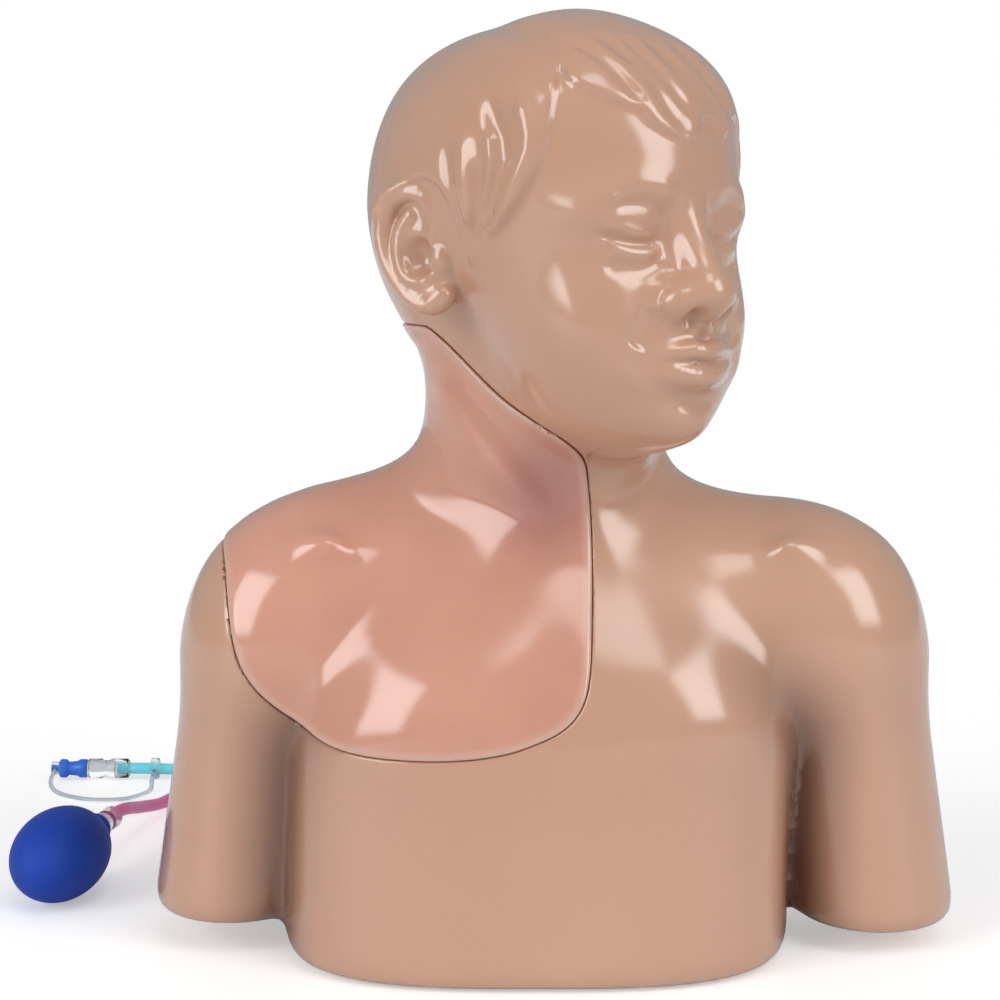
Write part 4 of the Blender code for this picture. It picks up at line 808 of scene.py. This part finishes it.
def ear(q, side):
    """An outer ear: a dished oval with a rolled rim, an inner ridge, a hollow, the tragus and a lobe."""
    local = (q - np.array([-7.0, side * 64.5, -6.0])) * [1, side, 1]
    tilt = math.radians(14)
    forward = local[:, 0] * math.cos(tilt) + local[:, 2] * math.sin(tilt)
    lift = -local[:, 0] * math.sin(tilt) + local[:, 2] * math.cos(tilt)
    placed = np.stack([forward, local[:, 1] + 0.30 * forward, lift], axis=1)
    pinna = egg(placed, (-3, -6, 0), (14.5, 10, 24))
    helix = [(3, 0, 1), (8, 0.4, 7), (8.5, 1, 15), (3, 2, 21.5), (-5, 2.6, 22.5), (-12, 3, 18),
             (-15.5, 3.2, 9), (-15, 3, -1), (-12, 2.4, -10), (-7, 2, -18), (-1, 1, -22), (5, 0, -19)]
    inner_ridge = [(-2, 2, 14), (-7.5, 2.6, 8), (-8.5, 2.8, -1), (-6, 2.6, -9), (0, 2, -12)]
    rim = from_line(placed, helix, 25)[0] - 3.0
    inner = from_line(placed, inner_ridge, 11)[0] - 2.5
    pinna = smooth_cut(pinna, egg(placed, (-11, 6, 3), (3.2, 4.5, 12)), 4)
    pinna = smooth_union(smooth_union(pinna, rim, 5), inner, 6)
    pinna = smooth_cut(pinna, egg(placed, (-0.5, 5.5, -2.5), (6.0, 9.0, 7.8)), 5)
    pinna = smooth_union(pinna, egg(placed, (7.5, -0.6, -5), (3.4, 3.8, 5)), 5)
    return smooth_union(pinna, egg(placed, (0, -1.5, -19), (7, 4.5, 6)), 6)


def hairline_gap(q):
    """How far each point lies above the hairline, or below it if negative, in millimetres over the head."""
    edge = [(angle * HAIR_SPREAD, height, 0) for angle, height in HAIRLINE]
    count = 3 * len(HAIRLINE)
    line = np.array([point.to_tuple() for point in curve_points(edge, count)])
    across = np.degrees(np.arctan2(q[:, 1], q[:, 0])) * HAIR_SPREAD
    gap = from_line(np.stack([across, q[:, 2], 0 * across], axis=1), edge, count)[0]
    return np.where(q[:, 2] > np.interp(across, line[:, 0], line[:, 1]), gap, -gap)


def hair(q):
    """How far the moulded cap of hair stands off the head, with its locks and the grooves between them."""
    thick = HAIR_THICKNESS * (0.45 + 0.55 * np.clip((q[:, 2] + 30) / 40, 0, 1))
    height = thick / (1 + np.exp(-hairline_gap(q) / 0.8))
    for points, width, depth in HAIR_FOLDS:
        height = height - fold(q, points, LOCK_BREADTH * width, LOCK_DEPTH * depth)
    for number in range(BACK_STRANDS):
        turn = math.radians(112 + 136 * number / (BACK_STRANDS - 1))
        sweep = math.radians(9 * (-1) ** number)
        strand = []
        for low in (1.25, 0.85, 0.45, 0.1, -0.25):
            at = turn + sweep * low
            strand.append((-3 + 82 * math.cos(low) * math.cos(at), 66 * math.cos(low) * math.sin(at),
                           19 + 68 * math.sin(low)))
        height = height - fold(q, strand, 2.6, 0.7)
    return height


def web_ends(side):
    """The two ends of the web's rod in the cleft at one side."""
    across = UPPER_BODY_SHIFT / 2 + side * (CHEST_BREADTH / 2 + 0.005)
    return (across, 0.006, 0.026), (across, 0.006, 0.130)


def webs(p):
    """The moulded web in the cleft between each arm and the chest."""
    right, left = (rod(p, *web_ends(side), WEB_RADIUS, WEB_RADIUS) for side in (-1, 1))
    return np.minimum(right, left)


def skin(p):
    """Signed distance in metres from each point to the outside of the bust, less than zero inside."""
    armpit_share = np.clip((p[:, 2] - 0.075) / 0.065, 0, 1)
    web = 0.010 + 0.030 * armpit_share**2 * (3 - 2 * armpit_share)
    body = smooth_union(trunk(p), shoulders_and_arms(p), web)
    body = smooth_union(smooth_union(body, neck(p), 0.045), webs(p), 0.006)
    middle = UPPER_BODY_SHIFT
    for side in (-1, 1):
        body = body - hump(p, (middle + side * 0.052, -0.070, 0.118), (0.042, 0.030, 0.030), 0.0040)
        body = body - fold(p, [(middle + side * 0.012, -0.060, 0.168), (middle + side * 0.060, -0.044, 0.178),
                               (middle + side * 0.112, -0.020, 0.172)], 0.0075, 0.0042)
        body = body + hump(p, (middle + side * 0.050, -0.040, 0.190), (0.030, 0.022, 0.012), 0.0040)
    body = body + hump(p, (middle + 0.004, -0.052, 0.178), (0.011, 0.015, 0.013), 0.0060)
    right_muscle = [(-0.040, -0.010, 0.245), (-0.014, -0.034, 0.205), (0.010, -0.052, 0.176)]
    left_muscle = [(0.046, -0.015, 0.220), (0.036, -0.035, 0.198), (0.018, -0.052, 0.176)]
    breastbone = [(0.002, -0.072, 0.080), (0.004, -0.072, 0.115), (0.012, -0.066, 0.155)]
    body = body - fold(p, right_muscle, 0.009, 0.0035) - fold(p, left_muscle, 0.008, 0.0040)
    body = body + fold(p, breastbone, 0.010, 0.0015)
    high = p[:, 2] > EYE_LINE.z - 0.75 * HEAD_HEIGHT
    q = on_pattern(p[high])
    head = mouth(q, nose(q, eyes(q, cranium_and_jaw(q))))
    for side in (-1, 1):
        head = smooth_union(head, ear(q, side), 4)
    body[high] = smooth_union(body[high], (head - hair(q)) * float(head_scale().mean()), 0.022)
    return smooth_common(body, -p[:, 2], 2 * BASE_ROUNDING)


def slope_of(distance, p, step=0.00012):
    """The distance at each point and its direction of increase."""
    middle = distance(p)
    rise = np.stack([distance(p + step * np.eye(3)[axis]) - middle for axis in range(3)], axis=1) / step
    return middle, rise


def rim_line(steps=12):
    """The insert's edge seen from the front, as a closed smooth line of (x, z)."""
    corners = [(-0.0445, NAPE_LINE), (-0.0130, JAW_LINE), (0.0140, JAW_LINE - 0.0180),
               (0.0205, JAW_LINE - 0.0360), (0.0215, 0.1500), (0.0165, 0.1140), (-0.0080, 0.0985),
               (-0.0500, 0.0940), (-0.0900, 0.0985), (-0.1180, 0.1220), (-0.1270, 0.1620),
               (-0.1340, 0.1950), (-0.1000, 0.2350), (-0.0660, NAPE_LINE + 0.0020)]
    closed = [Vector(corner) for corner in corners[-2:] + corners + corners[:2]]
    line = curve_points(closed, steps * (len(closed) - 1) + 1)[2 * steps : -2 * steps]
    return line[:-1]


RIM = np.array([tuple(point) for point in rim_line()])
CHART_STEP = 0.0005
CHART_SPARE = 0.012


def from_outline(x, z):
    """Distance to the insert's outline seen from the front, less than zero within it."""
    gap = np.full(x.shape, np.inf)
    within = np.zeros(x.shape, bool)
    for start, end in zip(RIM, np.roll(RIM, -1, axis=0)):
        along = end - start
        share = np.clip(((x - start[0]) * along[0] + (z - start[1]) * along[1]) / (along @ along), 0, 1)
        gap = np.minimum(gap, np.hypot(x - start[0] - share * along[0], z - start[1] - share * along[1]))
        crosses = (start[1] > z) != (end[1] > z)
        within ^= crosses & (x < start[0] + (z - start[1]) * along[0] / (along[1] or 1e-12))
    return np.where(within, -gap, gap)


# The distance is worked out once on a chart of half-millimetre squares, and read from it between them.
chart_low = RIM.min(axis=0) - CHART_SPARE
chart_shape = np.ceil((RIM.max(axis=0) + CHART_SPARE - chart_low) / CHART_STEP).astype(int)
chart = from_outline(*np.meshgrid(chart_low[0] + CHART_STEP * np.arange(chart_shape[0]),
                                  chart_low[1] + CHART_STEP * np.arange(chart_shape[1]), indexing="ij"))


def from_rim(p):
    """Distance to the insert's edge, less than zero within: its outline, and a plane behind the shoulder."""
    at = np.clip((p[:, [0, 2]] - chart_low) / CHART_STEP, 0, chart_shape - 1.001)
    column, row = at.astype(int).T
    across, up = (at - at.astype(int)).T
    lower = chart[column, row] * (1 - across) + chart[column + 1, row] * across
    upper = chart[column, row + 1] * (1 - across) + chart[column + 1, row + 1] * across
    return smooth_common(lower * (1 - up) + upper * up, p[:, 1] - INSERT_REAR, 0.003)


def shell_skin(p):
    """The outside of the shell with the insert's pocket let into it, and the rim a little rounded."""
    outside = skin(p)
    pocket = np.maximum(from_rim(p), -outside - INSERT_THICKNESS)
    return smooth_cut(outside, pocket, 0.0014)


def gel_skin(p):
    """The insert: a millimetre prouder than the skin, with a full round edge, down to the pocket's floor."""
    outside = skin(p)
    face = smooth_common(outside - INSERT_PROUD, from_rim(p) + FIT_GAP, 0.0036)
    return smooth_common(face, -outside - INSERT_THICKNESS + SEAT_GAP, 0.002)


def changed(piece, kind, **settings):
    """Adds a modifier to a piece, sets it up and applies it."""
    only(piece)
    step = piece.modifiers.new("step", kind)
    for setting, value in settings.items():
        setattr(step, setting, value)
    bpy.ops.object.modifier_apply(modifier=step.name)
    return piece


def read_from(items, name, width=1, kind=np.int32):
    """One number, or a row of them, for each point, corner or face of a mesh."""
    found = np.empty(len(items) * width, kind)
    items.foreach_get(name, found)
    return found.reshape(-1, width) if width > 1 else found


def points_of(piece):
    """Where a piece's points lie."""
    return read_from(piece.data.vertices, "co", 3, float)


NEAR_ENOUGH = 0.00002


def laid_on(piece, surface, level=0.0, rounds=3):
    """Moves a piece's points along the steepest way until they lie on a drawn surface."""
    points = points_of(piece)
    off = np.flatnonzero(np.abs(surface(points) - level) > NEAR_ENOUGH)
    for _ in range(rounds):
        if not len(off):
            break
        gap, rise = slope_of(surface, points[off])
        steep = np.maximum((rise**2).sum(axis=1), 0.3)
        points[off] -= np.clip((gap - level) / steep, -0.004, 0.004)[:, None] * rise
        off = off[np.abs(gap - level) > NEAR_ENOUGH]
    piece.data.vertices.foreach_set("co", points.ravel())
    piece.data.update()
    return piece


def finer(piece, near, surface):
    """Halves the cells of a piece near a detail, and lays the new points on the surface."""
    mesh = piece.data
    chosen = near(points_of(piece))[read_from(mesh.loops, "vertex_index")]
    picked = np.logical_or.reduceat(chosen, read_from(mesh.polygons, "loop_start"))
    only(piece)
    scene.tool_settings.mesh_select_mode = (False, False, True)
    mesh.vertices.foreach_set("select", np.zeros(len(mesh.vertices), bool))
    mesh.edges.foreach_set("select", np.zeros(len(mesh.edges), bool))
    mesh.polygons.foreach_set("select", picked)
    bpy.ops.object.mode_set(mode="EDIT")
    bpy.ops.mesh.subdivide(number_cuts=1)
    bpy.ops.object.mode_set(mode="OBJECT")
    return laid_on(piece, surface, rounds=2)


def own_normals(piece, surface):
    """Shades a piece by the drawn surface's own slope where its faces lie along it, and flat elsewhere."""
    mesh = piece.data
    rise = slope_of(surface, points_of(piece))[1]
    rise = rise / np.maximum(np.linalg.norm(rise, axis=1), 1e-9)[:, None]
    faces = read_from(mesh.polygons, "normal", 3, float)
    flat = np.repeat(faces, read_from(mesh.polygons, "loop_total"), axis=0)
    smooth = rise[read_from(mesh.loops, "vertex_index")]
    along = (smooth * flat).sum(axis=1) > 0.6
    mesh.shade_smooth()
    mesh.normals_split_custom_set(np.where(along[:, None], smooth, flat).tolist())


def add_egg(mesh, centre, radii, turn=0.0):
    """Adds an egg-shaped mass to a rough mesh."""
    place = Matrix.Translation(centre) @ Matrix.Rotation(turn, 4, "Z") @ Matrix.Diagonal((*radii, 1))
    bmesh.ops.create_uvsphere(mesh, u_segments=24, v_segments=16, radius=1, matrix=place)


def add_column(mesh, low, high, low_radius, high_radius):
    """Adds a round column between two places to a rough mesh."""
    low, high = Vector(low), Vector(high)
    turn = (high - low).to_track_quat("Z", "Y").to_matrix().to_4x4()
    bmesh.ops.create_cone(mesh, cap_ends=True, segments=32, radius1=low_radius, radius2=high_radius,
                          depth=(high - low).length, matrix=Matrix.Translation((low + high) / 2) @ turn)


def rough_bust(level):
    """The masses of the bust as plain solids, which are joined, evened out and then pulled to the skin."""
    mesh = bmesh.new()
    middle = UPPER_BODY_SHIFT
    breadth = CHEST_BREADTH / 2 + level
    depth = CHEST_DEPTH / 2 + level
    base = max(-level, 0)
    column = Matrix.Translation((0, 0, 0.3 * CHEST_TOP + base)) @ Matrix.Diagonal((breadth, depth, 1, 1))
    bmesh.ops.create_cone(mesh, cap_ends=True, segments=48, radius1=1, radius2=1, depth=0.6 * CHEST_TOP,
                          matrix=column)
    add_egg(mesh, (middle, 0, 0.6 * CHEST_TOP), (breadth, depth, 0.4 * CHEST_TOP + level))
    for side, clearance in zip((-1, 1), ARM_CLEARANCES):
        joint = Vector((middle + side * SHOULDER_REACH, 0.004, SHOULDER_HEIGHT - 0.014))
        foot = Vector((middle + side * ARM_SPREAD, 0.008, clearance + base))
        add_egg(mesh, joint, [SHOULDER_RADIUS + level] * 3)
        add_column(mesh, foot, joint, ARM_RADIUS + level, ARM_RADIUS + level)
        add_column(mesh, Vector((middle, 0.006, SHOULDER_HEIGHT)), joint + Vector((0, 0, 0.014)),
                   SHOULDER_RADIUS + level, SHOULDER_RADIUS + level)
        add_column(mesh, (middle, 0.016, 0.21), (middle + side * 0.085, 0.012, SHOULDER_HEIGHT + 0.008),
                   0.024 + level, 0.022 + level)
    neck_radius = NECK_BREADTH / 2 + level
    add_column(mesh, (0.006, 0.014, 0.14), (0.003, 0.006, 0.27), neck_radius, neck_radius)
    masses = [((-3, 0, 19), (82, 67, 68)), ((-34, 0, -8), (46, 50, 48)), ((31, 0, -22), (45, 51, 58)),
              ((40, 0, -58), (40, 38, 28))]
    if level >= 0:
        masses += [((80, 0, -14), (16, 14, 20)), ((76, 0, -46), (12, 22, 12)), ((-8, 66, -6), (15, 8, 24)),
                   ((-8, -66, -6), (15, 8, 24))]
    spare = HEAD_SPARE if level >= 0 else 0
    scale = head_scale()
    for centre, radii in masses:
        place = Vector(np.array(centre) * scale @ head_axes()) + EYE_LINE
        add_egg(mesh, place, Vector(np.array(radii) * scale + level + spare), HEAD_TURN - math.pi / 2)
    web = WEB_RADIUS + WEB_SPARE + level
    for side in (-1, 1):
        add_column(mesh, *web_ends(side), web, web)
    made = bpy.data.meshes.new("rough_bust")
    mesh.to_mesh(made)
    mesh.free()
    return made


def massed(name, level, cell):
    """The bust's masses joined, evened out and laid on its skin, or on a level under or over it."""
    piece = put_in(name, rough_bust(level))
    changed(piece, "REMESH", mode="VOXEL", voxel_size=1.2 * cell)
    laid_on(piece, skin, level)
    changed(piece, "REMESH", mode="VOXEL", voxel_size=cell)
    return laid_on(piece, skin, level, 4)


def rim_block(name, grow):
    """The insert's outline as a solid block from in front of the chest to the insert's rear edge."""
    data = bpy.data.curves.new(name, "CURVE")
    data.dimensions = "2D"
    data.fill_mode = "BOTH"
    front = -CHEST_DEPTH
    rear = INSERT_REAR + grow
    data.extrude = (rear - front) / 2
    spline = data.splines.new("POLY")
    spline.points.add(len(RIM) - 1)
    for point, before, here, after in zip(spline.points, np.roll(RIM, 1, axis=0), RIM,
                                          np.roll(RIM, -1, axis=0)):
        along = (after - before) / np.linalg.norm(after - before)
        point.co = (here[0] - grow * along[1], here[1] + grow * along[0], 0, 1)
    spline.use_cyclic_u = True
    block = put_in(name, data)
    block.location = (0, (rear + front) / 2, 0)
    block.rotation_euler = (math.pi / 2, 0, 0)
    only(block)
    bpy.ops.object.convert(target="MESH")
    bpy.ops.object.transform_apply(location=True, rotation=True, scale=True)
    merged(block)
    return block


def combined(piece, other, operation, keep=False):
    """Cuts a piece with another, keeps their common part or joins them, and clears the other away."""
    changed(piece, "BOOLEAN", operation=operation, object=other, solver="EXACT")
    if not keep:
        bpy.data.objects.remove(other, do_unlink=True)
    return piece


def settled(piece, surface):
    """Evens out a piece's cells along its surface."""
    changed(piece, "SMOOTH", factor=0.5, iterations=2)
    return laid_on(piece, surface, rounds=3)


def over_features(points):
    """The lids, nose and lips, the ears, the fringe and the locks beside the temples."""
    q = on_pattern(points)
    forward, across, up = q[:, 0], np.abs(q[:, 1]), q[:, 2]
    face = (forward > 52) & (across < 42) & (up > -66) & (up < 20)
    ears = (forward > -28) & (forward < 14) & (across > 54) & (up > -34) & (up < 24)
    fringe = (forward > 34) & (up > 30) & (up < 80) & (q[:, 1] > -50) & (q[:, 1] < 40)
    locks = (forward > 4) & (forward < 60) & (across > 48) & (up > -16) & (up < 60)
    return face | ears | fringe | locks


def over_rim(points):
    """The rounded rim of the pocket."""
    return (np.abs(from_rim(points)) < 0.0032) & (np.abs(skin(points)) < 0.0035)


def over_creases(points):
    """The lids, the nostrils, the lips and the folds of the ears."""
    q = on_pattern(points)
    forward, across, up = q[:, 0], np.abs(q[:, 1]), q[:, 2]
    lids = (forward > 52) & (across > 11) & (across < 43) & (up > -12) & (up < 9)
    nostrils = (forward > 66) & (across < 17) & (up > -42) & (up < -16)
    lips = (forward > 60) & (across < 32) & (up > -62) & (up < -40)
    ears = (forward > -26) & (forward < 12) & (across > 57) & (up > -32) & (up < 22)
    return lids | nostrils | lips | ears


BUST_CELL = 0.0030
SEAT_CELL = 0.0050
# How far from the bottom of each arm's cleft, and up to what height, the skin is darkened by painted shade.
CLEFT_REACH = 0.032
CLEFT_TOP = 0.150
bust = massed("glossy_bust", 0.0, BUST_CELL)
seat = massed("seat_floor", -INSERT_THICKNESS, SEAT_CELL)
pocket = combined(rim_block("pocket", 0.0), seat, "DIFFERENCE", keep=True)
combined(bust, pocket, "DIFFERENCE")
changed(bust, "REMESH", mode="VOXEL", voxel_size=BUST_CELL)
laid_on(bust, shell_skin, rounds=4)
settled(bust, shell_skin)
finer(bust, lambda points: over_features(points) | over_rim(points), shell_skin)
settled(bust, shell_skin)
finer(bust, lambda points: over_creases(points) | over_rim(points), shell_skin)
own_normals(bust, shell_skin)


def painted_cleft_shade(points):
    """The share of painted shade at each point: one at the bottom of the cleft between an arm and the chest,
    and none away from it.
    """
    beside = np.maximum(np.abs(trunk(points)), np.abs(shoulders_and_arms(points)))
    low = np.clip((CLEFT_TOP - points[:, 2]) / 0.05, 0, 1)
    return np.clip(1 - beside / CLEFT_REACH, 0, 1) ** 1.25 * low


def marked(piece, name, values):
    """Keeps a value at each of a piece's points, which its material reads by name."""
    mark = piece.data.attributes.new(name, "FLOAT", "POINT")
    mark.data.foreach_set("value", values.astype(np.float32))


def toned(tree, share, base, tone):
    """A colour turned towards another tone by a share."""
    blend = added(tree, "ShaderNodeMix", {"Factor": share, "A": base, "B": (*tone, 1)}, data_type="RGBA")
    return blend.outputs["Result"]


# Each point of the bust keeps its share of painted shade, which the material reads as cleft.
marked(bust, "cleft", painted_cleft_shade(points_of(bust)))


# The skin plastic is tan all through and polished like a moulding: a clear, hard gloss over a soft orange
# peel, with a faint unevenness in the colour where the shell is thinner. In the clefts beside the arms its
# colour is darkened to brown as painted shade.
TAN_DARK = (0.570, 0.322, 0.216)
TAN_LIGHT = (0.625, 0.362, 0.246)
CLEFT_PAINTED_SHADE = (0.150, 0.058, 0.030)
skin_plastic, tree, shader = new_material("tan_skin_plastic")
tan = clouded(tree, 7, 3, TAN_DARK, TAN_LIGHT, 0.30, 0.72)
in_shade = added(tree, "ShaderNodeAttribute", attribute_name="cleft")
# The tan is darkened towards brown in the clefts beside the arms: painted shade.
fill(shader, {"Base Color": toned(tree, in_shade.outputs["Fac"], tan, CLEFT_PAINTED_SHADE), "Roughness": 0.20,
              "IOR": 1.50, "Coat Weight": 1.0, "Coat Roughness": 0.07, "Subsurface Weight": 0.08,
              "Subsurface Radius": (0.006, 0.003, 0.002), "Normal": relief(tree, 210, 1, 0.035, 0.0005)})
bust.data.materials.append(skin_plastic)
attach(bust, "root")
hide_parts("bust_shell")


# The insert is a slab of soft, translucent elastomer cast to fill its pocket, 20 mm thick. It stands
# a millimetre proud with a full round edge, and its wet-looking gloss is sharper than the plastic's.
GEL_CELL = 0.0026
GEL_DARK = (0.625, 0.305, 0.220)
GEL_LIGHT = (0.705, 0.365, 0.268)
# The paler tone of the rim: partly the thin clear lip, and partly a painted highlight along the round edge.
GEL_PALE_EDGE_AND_HIGHLIGHT = (0.740, 0.480, 0.400)
# A darker, redder tone: painted shade at the neck's base.
GEL_PAINTED_DEEP_SHADE = (0.420, 0.155, 0.150)
EDGE_DEPTH = 0.0055
# The middle of the patch of painted shade at the neck's base.
PAINTED_SHADE_PLACE = (0.001, -0.052, 0.193)


def over_gel_edge(reach, depth):
    """Chooses the points within a reach of the insert's edge, down to a depth under the skin."""
    return lambda points: (np.abs(from_rim(points)) < reach) & (skin(points) > -depth)


gel = massed("gel_insert", INSERT_PROUD, GEL_CELL)
combined(gel, rim_block("gel_edge", -FIT_GAP), "INTERSECT")
combined(gel, seat, "DIFFERENCE")
changed(gel, "REMESH", mode="VOXEL", voxel_size=GEL_CELL)
laid_on(gel, gel_skin, rounds=5)
finer(gel, over_gel_edge(0.0060, 0.006), gel_skin)
finer(gel, over_gel_edge(0.0040, 0.003), gel_skin)
# Each point of the gel keeps how near it lies to the rim, for a paler rim that is partly a painted highlight.
marked(gel, "edge", np.clip(1 + from_rim(points_of(gel)) / EDGE_DEPTH, 0, 1))
own_normals(gel, gel_skin)

# The gel's colour is paler at its rim, partly the clear lip and partly a painted highlight, and darker and
# redder at the neck's base as painted shade.
gel_finish, tree, shader = new_material("pink_tissue_gel")
flesh = clouded(tree, 16, 4, GEL_DARK, GEL_LIGHT, 0.30, 0.72)
# Towards the neck's base the flesh turns darker and redder: a patch of painted shade.
place = added(tree, "ShaderNodeTexCoord")
from_painted_shade = added(tree, "ShaderNodeVectorMath", {0: place.outputs["Object"], 1: PAINTED_SHADE_PLACE},
                    operation="DISTANCE")
painted_shade_share = added(tree, "ShaderNodeMapRange", {"Value": from_painted_shade.outputs["Value"], "From Min": 0.036,
                                                  "From Max": 0.004, "To Max": 0.85},
                     interpolation_type="SMOOTHSTEP")
flesh_with_painted_shade = toned(tree, painted_shade_share.outputs["Result"], flesh, GEL_PAINTED_DEEP_SHADE)
# Towards the rim the colour turns paler: the thin clear lip, and a painted highlight along the round edge.
near_edge = added(tree, "ShaderNodeAttribute", attribute_name="edge")
pale_edge_and_highlight_share = added(tree, "ShaderNodeMapRange", {"Value": near_edge.outputs["Fac"], "To Max": 0.75},
                   interpolation_type="SMOOTHSTEP")
fill(shader, {"Base Color": toned(tree, pale_edge_and_highlight_share.outputs["Result"], flesh_with_painted_shade, GEL_PALE_EDGE_AND_HIGHLIGHT),
              "Roughness": 0.16, "IOR": 1.43, "Coat Weight": 1.0, "Coat Roughness": 0.03,
              "Subsurface Weight": 0.55, "Subsurface Radius": (0.010, 0.004, 0.003), "Subsurface Scale": 1.0})
gel.data.materials.append(gel_finish)
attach(gel, "root")
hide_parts("tissue_insert")


# Inside the gel run two soft blind vessels, and behind it their barbed couplings and hoses lead through the
# hollow bust to the grommets. They keep the part's own shapes and get their working finishes.
VEIN_ELASTOMER = rubber("blue_vessel_elastomer", (0.060, 0.220, 0.560), (0.110, 0.320, 0.720), 0.35, 0.10)
ARTERY_ELASTOMER = rubber("red_vessel_elastomer", (0.580, 0.060, 0.080), (0.760, 0.110, 0.130), 0.35, 0.10)
inner_finishes = {
    "jugular_vein": VEIN_ELASTOMER,
    "carotid_artery": ARTERY_ELASTOMER,
    "vein_coupling": FITTING_CLEAR,
    "artery_coupling": FITTING_CLEAR,
    "vein_inner_hose": BLUE_FLUID,
    "artery_inner_hose": PINK_FLUID,
}
for name, finish in inner_finishes.items():
    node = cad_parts[name]
    node.data.materials.clear()
    node.data.materials.append(finish)
